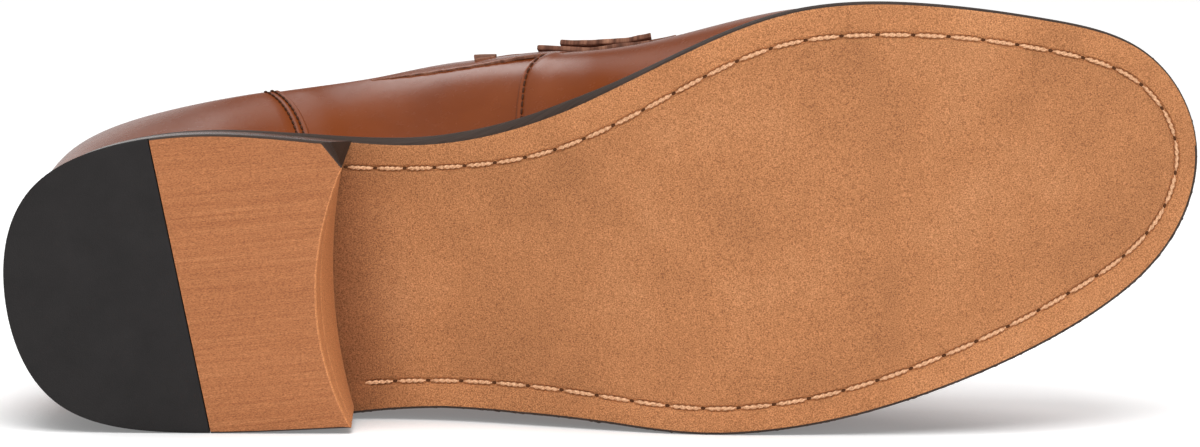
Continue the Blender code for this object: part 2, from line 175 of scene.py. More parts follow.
for name, (place, width, height, watts) in SOFT_BOXES.items():
    light = bpy.data.lights.new(name, "AREA")
    light.shape = "RECTANGLE"
    light.size = width
    light.size_y = height
    light.energy = watts
    lamp = bpy.data.objects.new(name, light)
    bpy.context.scene.collection.objects.link(lamp)
    lamp.location = place
    lamp.rotation_euler = (LIGHT_AIM - Vector(place)).to_track_quat("-Z", "Y").to_euler()
    print("soft box", name, watts, "W")

# %% [markdown]
# ## The last
# A shoemaker stretches the leather over a last, so the last is what all pieces share. Sections from heel to
# toe give the sole's edge on both sides, how far the upper stands inside it and how much it swells, and a
# ridge line gives the top. Smooth curves through these rows make a closed ring of ribs: a place on the ring
# runs from 0 at the heel up the lateral side to the toe and back along the medial side, and an angle on
# each rib runs from the sole to the ridge. These are the same numbers that the solids are built from.

# %% Sections of the last
LENGTH = 301.2
BALL_WIDTH = 105.0
INSTEP = 88.0
HEEL_HEIGHT = 22.0
BREAST = 88.0
TREAD_START = 178.0
TREAD_END = 205.0
TOE_SPRING = 9.0
SECTION_COLUMNS = ("along", "lateral", "medial", "margin", "lateral_bulge", "medial_bulge", "ridge")
SECTIONS = {
    "heel_back": (0.5, 4.2, 4.2, 3.0, 3.0, 3.0, 11.3),
    "heel_round": (3.7, 30.0, -20.4, 3.0, 3.0, 3.5, 12.3),
    "heel_seat": (13.3, 39.5, -28.6, 3.0, 2.5, 6.2, 15.3),
    "heel_breast": (23.9, 41.9, -25.7, 2.5, 2.5, 12.2, 19.9),
    "waist": (34.9, 44.0, -20.7, 2.5, 5.5, 19.2, 32.5),
    "arch": (45.8, 48.5, -25.0, 3.0, 8.0, 17.5, 48.1),
    "joint": (56.4, 54.2, -36.1, 4.0, 4.5, 9.2, 57.1),
    "ball": (67.4, 54.1, -45.0, 5.0, 2.5, 4.4, 65.7),
    "tread": (78.4, 47.7, -43.3, 5.0, 2.0, 3.0, 73.4),
    "toe": (88.3, 37.5, -36.6, 5.0, 1.5, 2.0, 80.3),
    "toe_round": (96.5, 21.8, -25.6, 5.0, 1.5, 1.5, 84.7),
    "toe_tip": (100.0, -2.4, -2.4, 5.0, 1.0, 1.0, 86.0),
}
RIDGE_COLUMNS = ("along", "across", "height")
RIDGE = {
    "above_heel": (11.3, 5.7, 127.0),
    "above_breast": (23.9, 9.5, 120.0),
    "above_waist": (34.9, 9.5, 111.5),
    "instep": (45.8, 7.1, 100.0),
    "throat": (51.5, 5.7, 91.0),
    "vamp": (56.4, 3.3, 80.7),
    "ball": (65.1, 0.0, 67.0),
    "tread": (73.4, -1.4, 59.0),
    "toe": (80.3, -1.0, 54.0),
    "toe_end": (86.0, -1.0, 50.0),
}
TOE = len(SECTIONS) - 1
RING = 2 * TOE
print("last", len(SECTIONS), "sections and", len(RIDGE), "points on the ridge")

# %% Smooth curves
def spline(knots, rows, closed=False):
    """A twice-smooth curve through rows at knots, natural at its ends or closed into a ring."""
    knots = np.asarray(knots, float)
    rows = np.asarray(rows, float)
    count = len(rows)
    values = np.vstack([rows, rows[:1]]) if closed else rows
    steps = np.diff(knots)
    slopes = np.diff(values, axis=0) / steps[:, None]
    matrix = np.eye(count)
    jumps = np.zeros_like(rows)
    for i in range(count) if closed else range(1, count - 1):
        matrix[i] = 0
        matrix[i, i - 1] += steps[i - 1]
        matrix[i, i] += 2 * (steps[i - 1] + steps[i])
        matrix[i, (i + 1) % count] += steps[i]
        jumps[i] = 6 * (slopes[i] - slopes[i - 1])
    bends = np.linalg.solve(matrix, jumps)
    if closed:
        bends = np.vstack([bends, bends[:1]])

    def at(place):
        place = np.asarray(place, float)
        place = np.mod(place, knots[-1]) if closed else np.clip(place, knots[0], knots[-1])
        i = np.clip(np.searchsorted(knots, place, side="right") - 1, 0, len(steps) - 1)
        step = steps[i][..., None]
        b = (place - knots[i])[..., None] / step
        a = 1 - b
        bent = (a**3 - a) * bends[i] + (b**3 - b) * bends[i + 1]
        return a * values[i] + b * values[i + 1] + bent * step**2 / 6

    return at


# %% Ring and ridge
def sections_ring():
    table = dict(zip(SECTION_COLUMNS, np.array(list(SECTIONS.values())).T))
    sides = []
    for side in ("lateral", "medial"):
        across = table[side] * BALL_WIDTH / 100
        along, ridge_x = (table[key] * LENGTH / 100 for key in ("along", "ridge"))
        sides.append(np.column_stack([along, across, table["margin"], table[side + "_bulge"], ridge_x]))
    rows = np.vstack([sides[0], sides[1][-2:0:-1]])
    return spline(np.arange(len(rows) + 1), rows, closed=True)


def ridge_line():
    table = dict(zip(RIDGE_COLUMNS, np.array(list(RIDGE.values())).T / 100))
    line = np.column_stack([table["across"] * BALL_WIDTH, table["height"] * INSTEP])
    return spline(table["along"] * LENGTH, line)


ring = sections_ring()
ridge = ridge_line()
print("sole", round(float(ring(TOE)[0]), 1), "mm long")

# %% Points on the last
NUDGE = 1e-3
HALVINGS = 50
FULLNESS = 2.5
BULGE_RISE = 1.2
BULGE_BREADTH = 0.9
RIDGE_CLEAR = 0.03
UPPER_FOOT = 7.3
RIGHT_ANGLE = math.pi / 2


def sole_bottom(x):
    """Height of the sole's underside: heel seat, arch, tread on the ground and toe spring."""
    t = np.clip((x - BREAST) / (TREAD_START - BREAST), 0, 1)
    spring = np.clip((x - TREAD_END) / (LENGTH - TREAD_END), 0, None)
    return HEEL_HEIGHT * (1 - t * t * (3 - 2 * t)) + TOE_SPRING * spring**2


def outward(place):
    """Level unit vector out of the ring."""
    along = (ring(place + NUDGE) - ring(place - NUDGE))[..., :2]
    out = np.stack([-along[..., 1], along[..., 0]], axis=-1)
    return out / np.linalg.norm(out, axis=-1, keepdims=True)


def edge(place, inset):
    """Plan points of the sole's edge, moved in by inset."""
    inset = np.broadcast_to(inset, np.shape(place))
    return ring(place)[..., :2] - outward(place) * inset[..., None]


def place_at(x, medial=False):
    """The ring's place where the sole's edge has this x, on one side."""
    low, high = 0.0, float(TOE)
    for _ in range(HALVINGS):
        middle = (low + high) / 2
        low, high = (middle, high) if ring(middle)[0] < x else (low, middle)
    return RING - low if medial else low


def last(place, angle):
    """Points on the last's side. angle is 0 at the sole and a right angle on the ridge."""
    x, y, margin, bulge, ridge_x = np.moveaxis(ring(place), -1, 0)
    out = outward(place)
    foot = np.stack([x, y], axis=-1) - out * margin[..., None]
    foot_z = sole_bottom(foot[..., 0]) + UPPER_FOOT
    ridge_y, ridge_z = np.moveaxis(ridge(ridge_x), -1, 0)
    reach = np.stack([ridge_x, ridge_y], axis=-1) - foot
    inwards = out * np.sum(reach * out, axis=-1, keepdims=True)
    height = np.sin(angle) ** (2 / FULLNESS)
    drawn_in = 1 - np.abs(np.cos(angle)) ** (2 / FULLNESS)
    swell = bulge * np.abs(np.sin(math.pi * height**BULGE_RISE)) ** BULGE_BREADTH
    plan = foot + inwards * drawn_in[..., None] + (reach - inwards) * height[..., None]
    plan = plan + out * swell[..., None]
    z = foot_z + (ridge_z - foot_z) * height
    return np.concatenate([plan, z[..., None]], axis=-1)


def last_normal(place, angle):
    """Unit vectors out of the last."""
    angle = np.clip(angle, 2 * NUDGE, RIGHT_ANGLE - RIDGE_CLEAR)
    round_it = last(place + NUDGE, angle) - last(place - NUDGE, angle)
    up_it = last(place, angle + NUDGE) - last(place, angle - NUDGE)
    normal = np.cross(up_it, round_it)
    return normal / np.linalg.norm(normal, axis=-1, keepdims=True)


def rise_angle(place, limit):
    """The rib angle at which each rib first passes limit(x, lateral), at most a right angle."""
    low = np.zeros_like(place)
    high = np.full_like(place, RIGHT_ANGLE)
    for _ in range(HALVINGS):
        middle = (low + high) / 2
        point = last(place, middle)
        above = point[..., 2] > limit(point[..., 0], place < TOE)
        high = np.where(above, middle, high)
        low = np.where(above, low, middle)
    return high


print("instep", round(float(last(np.array(5.0), np.array(RIGHT_ANGLE))[2]), 1), "mm high")

# %% [markdown]
# ## How a piece is made
# Most pieces are a grid of faces moved onto the last: bmesh makes the grid, and a function says where each
# vertex goes from its column and row. Sculpting would do too, but nobody could change one number and see the
# piece follow. Each vertex also remembers its standing place in an attribute named shoe, in millimetres, so
# that grain and streaks follow the shoe and not the floor it lies on.

# %% Grid and piece helpers
MERGE_WITHIN = 1e-3
ROUND_ABOVE = 50


def moved_grid(bm, columns, rows, shape):
    """Adds a grid and moves its vertices to shape(columns, rows). Layers keep these numbers."""
    layers = [bm.verts.layers.int.get(name) or bm.verts.layers.int.new(name) for name in ("column", "row")]
    made = bmesh.ops.create_grid(bm, x_segments=columns, y_segments=rows, size=0.5)["verts"]
    shares = np.array([vertex.co.xy for vertex in made]) + 0.5
    numbers = np.rint(shares * (columns, rows)).astype(int)
    for vertex, point, number in zip(made, shape(numbers[:, 0], numbers[:, 1]), numbers):
        vertex.co = point
        for layer, count in zip(layers, number):
            vertex[layer] = count


def laid_piece(name, bm, finishes, replaced=(), sharp=None):
    bmesh.ops.remove_doubles(bm, verts=bm.verts, dist=MERGE_WITHIN)
    bmesh.ops.recalc_face_normals(bm, faces=bm.faces)
    shoe = bm.verts.layers.float_vector.new("shoe")
    for vertex in bm.verts:
        vertex[shoe] = vertex.co
    bmesh.ops.transform(bm, matrix=lie_down @ Matrix.Scale(MM, 4), verts=bm.verts)
    for vertex in bm.verts:
        vertex.co.z = max(vertex.co.z, 0)
    mesh = bpy.data.meshes.new(name)
    bm.to_mesh(mesh)
    bm.free()
    mesh.shade_smooth()
    if sharp:
        mesh.set_sharp_from_angle(angle=math.radians(sharp))
    for finish in finishes:
        mesh.materials.append(finish)
    piece = bpy.data.objects.new(name, mesh)
    bpy.context.scene.collection.objects.link(piece)
    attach(piece, "root")
    if replaced:
        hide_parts(*replaced)
    print(name, len(mesh.polygons), "faces")
    return piece


def thicken(piece, thickness, under, rim):
    """A wall of this thickness on the inside. under and rim number the finishes of underside and rim."""
    wall = piece.modifiers.new("wall", "SOLIDIFY")
    wall.thickness = thickness * MM
    wall.offset = -1
    wall.material_offset = under
    wall.material_offset_rim = rim


def round_off(piece, width):
    """Rounds the edges that turn by more than ROUND_ABOVE degrees."""
    rounding = piece.modifiers.new("rounding", "BEVEL")
    rounding.width = width * MM
    rounding.segments = 2
    rounding.limit_method = "ANGLE"
    rounding.angle_limit = math.radians(ROUND_ABOVE)


def face_up(bm):
    """Turns the faces of an open sheet upwards."""
    bmesh.ops.recalc_face_normals(bm, faces=bm.faces)
    if sum(face.normal.z for face in bm.faces) < 0:
        bmesh.ops.reverse_faces(bm, faces=bm.faces)


# %% [markdown]
# ## Finishes
# Each leather is built the same way: broad, soft patches shift the colour, a fine speckle stands for pores
# or nap, and a bump gives the grain its relief. A picture of leather could be wrapped round the shoe, but it
# would repeat and stretch. Noise in space does neither. Its scales are millimetres, because the shoe
# attribute is.

# %% Shared parts of a finish
# Level faces at zero height would run along the noise's own lattice, where it is weak, so it is shifted.
NOISE_SHIFT = (0.37, 0.21, 0.43)


def shoe_coordinates(tree, stretch=(1, 1, 1)):
    place = node(tree, "ShaderNodeAttribute", attribute_name="shoe")
    inputs = {0: place.outputs["Vector"], 1: stretch, 2: NOISE_SHIFT}
    return node(tree, "ShaderNodeVectorMath", inputs, operation="MULTIPLY_ADD").outputs[0]


def noise(tree, vector, scale, detail, roughness):
    inputs = {"Vector": vector, "Scale": scale, "Detail": detail, "Roughness": roughness}
    return node(tree, "ShaderNodeTexNoise", inputs).outputs["Fac"]


def ramp(tree, value, *stops):
    """Colours along a value. Each stop is a position and a colour."""
    made = node(tree, "ShaderNodeValToRGB", {"Fac": value})
    elements = made.color_ramp.elements
    while len(elements) < len(stops):
        elements.new(0.5)
    for element, (position, colour) in zip(elements, stops):
        element.position = position
        element.color = (*colour, 1)
    return made.outputs["Color"]


def mixed(tree, share, first, second, blend="MIX"):
    made = node(tree, "ShaderNodeMix", data_type="RGBA", blend_type=blend)
    for index, value in ((0, share), (6, first), (7, second)):
        if isinstance(value, bpy.types.NodeSocket):
            tree.links.new(value, made.inputs[index])
        elif index:
            made.inputs[index].default_value = (*value, 1)
        else:
            made.inputs[index].default_value = value
    return made.outputs[2]


def spread(tree, value, low, high):
    """A 0 to 1 value spread between low and high."""
    limits = {"Value": value, "To Min": low, "To Max": high}
    return node(tree, "ShaderNodeMapRange", limits).outputs["Result"]


def summed(tree, *values):
    total = values[0]
    for value in values[1:]:
        total = node(tree, "ShaderNodeMath", {0: total, 1: value}, operation="ADD").outputs[0]
    return total


def scaled(tree, value, factor):
    return node(tree, "ShaderNodeMath", {0: value, 1: factor}, operation="MULTIPLY").outputs[0]


def bumped(tree, shader, height, distance, strength):
    """Relief on the shader, distance millimetres deep."""
    inputs = {"Height": height, "Distance": distance * MM, "Strength": strength}
    made = node(tree, "ShaderNodeBump", inputs)
    tree.links.new(made.outputs["Normal"], shader.inputs["Normal"])


# %% [markdown]
# ### Sole leather
# Sole leather is firm, tanned with bark and buffed, so it is matt and warm, and its short nap catches light
# in specks. Brush strokes run across the shoe. Beside the heel the sole lies in the heel's shade, so a
# smooth
# step along the shoe darkens it there: painted shade. The strip outside the stitches is pressed and a little
# paler.

# %% Sole leather
# Stops of the patches' tones, and of the nap that multiplies them
SOLE_TONES = ((0.3, (0.345, 0.142, 0.055)), (0.5, (0.41, 0.171, 0.067)), (0.72, (0.465, 0.206, 0.087)))
SOLE_NAP = ((0.33, (0.52, 0.47, 0.42)), (0.5, (1, 1, 1)), (0.68, (1.45, 1.50, 1.58)))
BRUSHED_TONE = (0.37, 0.153, 0.060)
# Painted shade beside the heel: where it ends along the shoe, and the share of each tone left in it
HEEL_SHADE_X = (82, 106)
HEEL_SHADE_SHARE = (0.55, 0.49, 0.46)
PALER_BORDER = 1.09


def sole_leather(name, shade):
    """Buffed tan leather with a short nap: patches, faint brushing, fine specks, and painted shade beside
    the heel.
    """
    material, tree, shader = new_finish(name, Roughness=0.85, Specular_IOR_Level=0.25)
    place = shoe_coordinates(tree)
    patches = noise(tree, place, 0.035, 4, 0.6)
    brushing = noise(tree, shoe_coordinates(tree, (1.6, 0.12, 1)), 1.0, 3, 0.6)
    speckle = noise(tree, place, 3.0, 2, 0.7)
    tone = ramp(tree, patches, *SOLE_TONES)
    tone = mixed(tree, spread(tree, brushing, 0, 0.3), tone, BRUSHED_TONE)
    tone = mixed(tree, 1.0, tone, ramp(tree, speckle, *SOLE_NAP), "MULTIPLY")
    # Painted shade: the sole darkens from the heel's breast forward, where the heel shades it
    along = node(tree, "ShaderNodeSeparateXYZ", {"Vector": place}).outputs["X"]
    beyond_heel_shade = smooth_range(tree, along, *HEEL_SHADE_X)
    heel_shade_tone = tuple(shade * part for part in HEEL_SHADE_SHARE)
    tone = mixed(tree, 1.0, tone, mixed(tree, beyond_heel_shade, heel_shade_tone, (shade, shade, shade)), "MULTIPLY")
    tree.links.new(tone, shader.inputs["Base Color"])
    bumped(tree, shader, summed(tree, speckle, scaled(tree, brushing, 0.4)), 0.25, 0.6)
    return material


sole_finish = sole_leather("sole_leather", 1.0)
border_finish = sole_leather("border_leather", PALER_BORDER)
print("sole leather", len(sole_finish.node_tree.nodes), "nodes")

# %% [markdown]
# ### Dark edge
# The sides of sole, welt and heel are inked and ironed with hot wax. The layers of the leather still show as
# fine lines, so one noise is stretched along the shoe and squeezed in height. Wax lies thinnest on the sole
# and thickest on the heel, so one function takes the gloss and the limits of the roughness.

# %% Dark edge
DYE_TONES = ((0.3, (0.032, 0.020, 0.015)), (0.7, (0.062, 0.040, 0.031)))


def dark_edge(name, gloss, smooth, rough):
    """Dyed and waxed edge: dark grey-brown, satin, with the leather's fine layers showing as lines."""
    material, tree, shader = new_finish(name, Specular_IOR_Level=gloss)
    layers = noise(tree, shoe_coordinates(tree, (0.05, 0.05, 2.2)), 1.0, 3, 0.6)
    pores = noise(tree, shoe_coordinates(tree), 3.0, 2, 0.6)
    tree.links.new(ramp(tree, layers, *DYE_TONES), shader.inputs["Base Color"])
    tree.links.new(spread(tree, pores, smooth, rough), shader.inputs["Roughness"])
    bumped(tree, shader, summed(tree, layers, scaled(tree, pores, 0.4)), 0.12, 0.5)
    return material


edge_finish = dark_edge("dark_edge", 0.15, 0.5, 0.68)
welt_finish = dark_edge("dark_welt", 0.25, 0.35, 0.5)
heel_edge_finish = dark_edge("waxed_heel_edge", 0.5, 0.2, 0.3)
print("dark edge", len(edge_finish.node_tree.nodes), "nodes")

# %% [markdown]
# ### Upper leather
# The upper is polished calf: deep brown, burnished in soft patches, with fine pores. Polish is never even.
# It is bright round the counter and below the straps, and dull beside the counter's seam and on the vamp, so
# a ramp along the shoe sets the gloss. A thin coat over it stands for the wax.

# %% Upper leather
UPPER_TONES = ((0.25, (0.180, 0.038, 0.007)), (0.5, (0.208, 0.046, 0.009)), (0.8, (0.235, 0.056, 0.013)))
# Gloss by place along the shoe, as a share of GLOSS_LENGTH millimetres: counter, its seam, quarter, vamp
GLOSS_LENGTH = 300
GLOSS = (
    (0.12, 0.34), (0.165, 0.24), (0.197, 0.07), (0.22, 0.05), (0.27, 0.06),
    (0.31, 0.13), (0.36, 0.35), (0.45, 0.4), (0.51, 0.03),
)


def upper_leather():
    """Polished cognac calf: soft burnished patches, pores and a gloss that changes along the shoe."""
    material, tree, shader = new_finish("upper_leather", Coat_Weight=0.05, Coat_Roughness=0.3)
    place = shoe_coordinates(tree)
    along = node(tree, "ShaderNodeSeparateXYZ", {"Vector": place}).outputs["X"]
    levels = [(share, (level, level, level)) for share, level in GLOSS]
    gloss = ramp(tree, scaled(tree, along, 1 / GLOSS_LENGTH), *levels)
    tree.links.new(gloss, shader.inputs["Specular IOR Level"])
    patches = noise(tree, place, 0.05, 3, 0.5)
    mottle = noise(tree, place, 0.35, 3, 0.6)
    pores = noise(tree, place, 1.7, 2, 0.5)
    tone = ramp(tree, patches, *UPPER_TONES)
    tone = mixed(tree, spread(tree, mottle, 0, 0.25), tone, UPPER_TONES[0][1])
    tree.links.new(tone, shader.inputs["Base Color"])
    tree.links.new(spread(tree, mottle, 0.2, 0.32), shader.inputs["Roughness"])
    bumped(tree, shader, summed(tree, scaled(tree, pores, 0.6), scaled(tree, mottle, 0.5)), 0.08, 0.3)
    return material


upper_finish = upper_leather()
print("upper leather", len(upper_finish.node_tree.nodes), "nodes")

# %% [markdown]
# ### Raw edge and lining
# Where leather is cut, its fibres show: pale, with dark dye rubbed in. Most cuts run along the shoe, so the
# noise is stretched that way. Inside, the lining is smooth and undyed, and a cell pattern gives it faint
# pores.

# %% Raw edge and lining
RAW_TONES = ((0.3, (0.060, 0.025, 0.016)), (0.5, (0.20, 0.084, 0.052)), (0.68, (0.40, 0.20, 0.125)))
LINING_TONES = ((0.3, (0.36, 0.185, 0.085)), (0.7, (0.50, 0.285, 0.145)))


def raw_edge():
    """Cut leather seen at its edge: dark dye over pale fibres."""
    material, tree, shader = new_finish("raw_edge", Roughness=0.8, Specular_IOR_Level=0.2)
    fibres = noise(tree, shoe_coordinates(tree, (0.14, 1, 1)), 1.6, 4, 0.7)
    tree.links.new(ramp(tree, fibres, *RAW_TONES), shader.inputs["Base Color"])
    bumped(tree, shader, fibres, 0.3, 0.8)
    return material


def lining_leather():
    """Smooth undyed lining with faint pores."""
    material, tree, shader = new_finish("lining_leather", Roughness=0.62, Specular_IOR_Level=0.35)
    place = shoe_coordinates(tree)
    patches = noise(tree, place, 0.06, 4, 0.6)
    pores = node(tree, "ShaderNodeTexVoronoi", {"Vector": place, "Scale": 1.3}).outputs["Distance"]
    tree.links.new(ramp(tree, patches, *LINING_TONES), shader.inputs["Base Color"])
    bumped(tree, shader, pores, 0.1, 0.4)
    return material


raw_finish = raw_edge()
lining_finish = lining_leather()
for finish in (raw_finish, lining_finish):
    print(finish.name, len(finish.node_tree.nodes), "nodes")

# %% [markdown]
# ### Heel rubber and heel leather
# The walking layer is half rubber, half leather. Rubber is moulded: near black and matt, with a pebbled
# skin. The leather is sanded on a belt, which leaves fine lines along the shoe over a soft speckle. The
# heel's front face stands in shade, so it gets a copy of the same leather painted paler: painted light.

# %% Heel rubber and heel leather
RUBBER_TONES = ((0.3, (0.013, 0.0115, 0.0115)), (0.7, (0.019, 0.017, 0.017)))
# Stops of the sanded lines' tones, and of the grain that multiplies them
HEEL_TONES = ((0.3, (0.29, 0.100, 0.034)), (0.5, (0.365, 0.135, 0.048)), (0.7, (0.44, 0.176, 0.068)))
HEEL_GRAIN = ((0.32, (0.66, 0.62, 0.58)), (0.5, (1, 1, 1)), (0.68, (1.32, 1.35, 1.40)))
WORN_TONE = (0.34, 0.120, 0.043)
# Painted light: how much paler the breast's copy of the heel leather is made, against the shade it stands in
BREAST_PAINTED_LIGHT = (1.42, 1.52, 1.55)


def heel_rubber():
    """Moulded rubber: near black, matt, with a fine pebbled skin."""
    material, tree, shader = new_finish("heel_rubber", Specular_IOR_Level=0.2)
    place = shoe_coordinates(tree)
    clouds = noise(tree, place, 0.08, 4, 0.6)
    pebbles = noise(tree, place, 3.5, 2, 0.5)
    tree.links.new(ramp(tree, clouds, *RUBBER_TONES), shader.inputs["Base Color"])
    tree.links.new(spread(tree, clouds, 0.62, 0.8), shader.inputs["Roughness"])
    bumped(tree, shader, pebbles, 0.1, 0.4)
    return material


def heel_leather(name, gain):
    """Sanded heel leather: the belt leaves fine lines along the shoe; gain makes all its tones paler."""
    material, tree, shader = new_finish(name, Roughness=0.72, Specular_IOR_Level=0.3)
    lines = noise(tree, shoe_coordinates(tree, (0.025, 2.2, 2.2)), 1.0, 4, 0.7)
    patches = noise(tree, shoe_coordinates(tree), 0.06, 3, 0.5)
    speckle = noise(tree, shoe_coordinates(tree, (0.5, 1, 1)), 4.0, 2, 0.7)
    tone = ramp(tree, lines, *HEEL_TONES)
    tone = mixed(tree, spread(tree, patches, 0, 0.4), tone, WORN_TONE)
    tone = mixed(tree, 1.0, tone, ramp(tree, speckle, *HEEL_GRAIN), "MULTIPLY")
    tone = mixed(tree, 1.0, tone, gain, "MULTIPLY")
    tree.links.new(tone, shader.inputs["Base Color"])
    bumped(tree, shader, summed(tree, scaled(tree, lines, 0.5), scaled(tree, speckle, 0.4)), 0.15, 0.5)
    return material


rubber_finish = heel_rubber()
heel_finish = heel_leather("heel_leather", (1, 1, 1))
# The breast's copy of the heel leather, painted paler: painted light
breast_painted_light_finish = heel_leather("heel_breast_painted_light", BREAST_PAINTED_LIGHT)
print("heel leather", len(heel_finish.node_tree.nodes), "nodes")

# %% [markdown]
# ### Thread
# The sole is sewn with thick pale thread that wax has darkened in places, and the upper with fine dark brown
# thread that hardly shines. The shade inside the needle holes is painted as one plain dark tone, with no
# pattern.

# %% Thread
# Painted shade: the tone of the dark ellipsoids that stand for the shade inside the needle holes
HOLE_SHADE_TONE = (0.09, 0.036, 0.017, 1)


def thread(name, gloss, dark, light):
    """Waxed thread, its fibres mottled between two tones."""
    material, tree, shader = new_finish(name, Roughness=0.55, Specular_IOR_Level=gloss)
    fibres = noise(tree, shoe_coordinates(tree), 2.5, 3, 0.6)
    tree.links.new(ramp(tree, fibres, (0.3, dark), (0.7, light)), shader.inputs["Base Color"])
    bumped(tree, shader, fibres, 0.1, 0.5)
    return material


sole_thread = thread("sole_thread", 0.4, (0.40, 0.175, 0.075), (0.86, 0.51, 0.29))
seam_thread = thread("seam_thread", 0.08, (0.035, 0.012, 0.006), (0.100, 0.036, 0.018))
hole_shade_finish = new_finish("needle_hole_shade", Base_Color=HOLE_SHADE_TONE, Roughness=1.0, Specular_IOR_Level=0.0)[0]
print("finishes", len(bpy.data.materials))

# %% [markdown]
# ## Outsole
# The outsole is one thick piece of tan leather. Its underside shows the stitching that holds it: the thread
# lies in a shallow channel a few millimetres inside the edge. It could be an outline that is extruded, but
# the channel would then have to be cut. Here a band of rows runs round the edge, so that rounding, slant and
# channel are only rows of it, and strips across the middle close it below and above.

# %% Stitch line
STITCH_LINE = {
    3.33: 5.9, 4.4: 6.7, 5.6: 6.8, 7.0: 7.0, 7.8: 7.7, 8.6: 8.1, 9.3: 7.8, 9.9: 6.6, 10.5: 5.6, 11.2: 5.6,
    11.7: 6.6, 12.3: 7.5, 13.6: 7.4, 14.5: 8.0, 15.4: 7.5, 16.6: 8.9, 17.1: 8.8, 17.8: 6.9, 18.5: 7.0,
}
STITCH_START = 18.5
STITCH_END = 3.4
stitch_spline = spline(list(STITCH_LINE), [[inset] for inset in STITCH_LINE.values()])


def stitch_inset(place):
    """How far the stitch line lies inside the sole's edge."""
    return stitch_spline(place)[..., 0]


print("stitch line", stitch_inset(8.6), "mm in at the tread")

# %% Outsole
OUTSOLE = 4.5
CHANNEL_DEPTH = 0.55
CHANNEL_FADE = 4.0
SOLE_COLUMNS = 1056
SOLE_ACROSS = 12
FUZZ = 0.09
FUZZ_SEED = 7
FUZZY_ROW = 9
DYED_ROW = 9
# Rows of the edge: inset and rise above the underside, from the hidden top round to the underside
EDGE_ROWS = (
    (9.0, 4.5), (1.2, 4.5), (0.6, 4.4), (0.25, 4.15), (0.05, 3.8), (0.0, 3.4), (0.0, 2.3), (0.0, 1.1),
    (0.03, 0.75), (0.12, 0.45), (0.35, 0.16), (0.7, 0.03), (1.3, 0.0),
)
# Rows of the channel: place beside the stitch line and share of the channel's depth
CHANNEL_ROWS = (
    (-2.4, 0), (-1.1, 0), (-0.86, 0.1), (-0.7, 0.8), (-0.5, 1), (0.5, 1), (0.7, 0.8), (0.86, 0.1), (1.1, 0),
    (3.0, 0),
)
# The edge slants most at the medial waist: by place, a share of how far the underside is drawn in and the
# top stands out
EDGE_SLANT = {
    0: 0, 13.0: 0, 15.2: 0.15, 16.0: 0.25, 16.4: 0.5, 16.8: 1.0, 17.6: 1.0, 18.2: 0.7, 19.0: 0, 22: 0,
}
SLANT_IN = 0.65
SLANT_OUT = 1.0
SLANT_RISE = 3.4
# Ahead of the heel the lateral edge stands out further than the last's ring, and round the heel's medial
# side it is drawn in a little: millimetres by place
EDGE_OUT = {
    3.0: 0, 3.25: 2.0, 3.6: 1.3, 4.0: 0.75, 4.6: 0.75, 5.3: 0, 18.8: 0, 19.6: -0.35, 20.4: -0.6, 21.2: -0.5,
    22: 0,
}
draws = np.random.default_rng(FUZZ_SEED)
edge_fuzz = draws.normal(0, FUZZ, SOLE_COLUMNS)
edge_fuzz = np.append(edge_fuzz, edge_fuzz[0])


def by_place(table, place):
    """What a table says at places round the ring."""
    return np.interp(np.mod(place, RING), list(table), list(table.values()))


def sole_band(columns, rows):
    """The band from the hidden top, round the edge and over the channel."""
    place = columns * RING / SOLE_COLUMNS
    line = stitch_inset(place)
    inset = np.zeros(len(place))
    rise = np.zeros(len(place))
    x = ring(place)[:, 0]
    begun = np.clip((x - BREAST + CHANNEL_FADE) / CHANNEL_FADE, 0, 1)
    for number, (in_by, up_by) in enumerate(EDGE_ROWS):
        here = rows == number
        ragged = edge_fuzz[columns] if number == FUZZY_ROW else 0 * x
        up_share = min(up_by / SLANT_RISE, 1)
        slant = by_place(EDGE_SLANT, place[here]) * (SLANT_IN * (1 - up_share) - SLANT_OUT * up_share)
        inset[here] = in_by + ragged[here] + (slant - by_place(EDGE_OUT, place[here])) * (number > 0)
        rise[here] = up_by
    for number, (beside, share) in enumerate(CHANNEL_ROWS, start=len(EDGE_ROWS)):
        here = rows == number
        inset[here] = line[here] + beside
        rise[here] = share * CHANNEL_DEPTH * begun[here]
    plan = edge(place, inset)
    return np.column_stack([plan, sole_bottom(plan[:, 0]) + rise])


def strips_across(inset, rise, length, breadth):
    """A function for a grid of strips from the lateral to the medial side, inside a band."""

    def shape(columns, rows):
        place = columns * TOE / length
        share = (rows / breadth)[:, None]
        lateral = edge(place, inset(place))
        medial = edge(RING - place, inset(RING - place))
        plan = lateral * (1 - share) + medial * share
        return np.column_stack([plan, sole_bottom(plan[:, 0]) + rise])

    return shape


def add_outsole():
    bm = bmesh.new()
    band_rows = len(EDGE_ROWS) + len(CHANNEL_ROWS) - 1
    moved_grid(bm, SOLE_COLUMNS, band_rows, sole_band)
    row_of, column_of = (bm.verts.layers.int[name] for name in ("row", "column"))
    for face in bm.faces:
        row = min(vertex[row_of] for vertex in face.verts)
        lateral = min(vertex[column_of] for vertex in face.verts) < SOLE_COLUMNS / 2
        # On the lateral side, which lies along the floor, the dark finish reaches one row further round the
        # underside's rounding
        dyed = row <= DYED_ROW + lateral
        face.material_index = 2 if dyed else int(row < len(EDGE_ROWS) + len(CHANNEL_ROWS) // 2)
    half = SOLE_COLUMNS // 2
    for inset, rise in (
        (lambda place: stitch_inset(place) + CHANNEL_ROWS[-1][0], 0),
        (lambda place: np.full(len(place), EDGE_ROWS[0][0]), OUTSOLE),
    ):
        moved_grid(bm, half, SOLE_ACROSS, strips_across(inset, rise, half, SOLE_ACROSS))
    finishes = [sole_finish, border_finish, edge_finish]
    laid_piece("outsole_finished", bm, finishes, ["outsole"])


add_outsole()

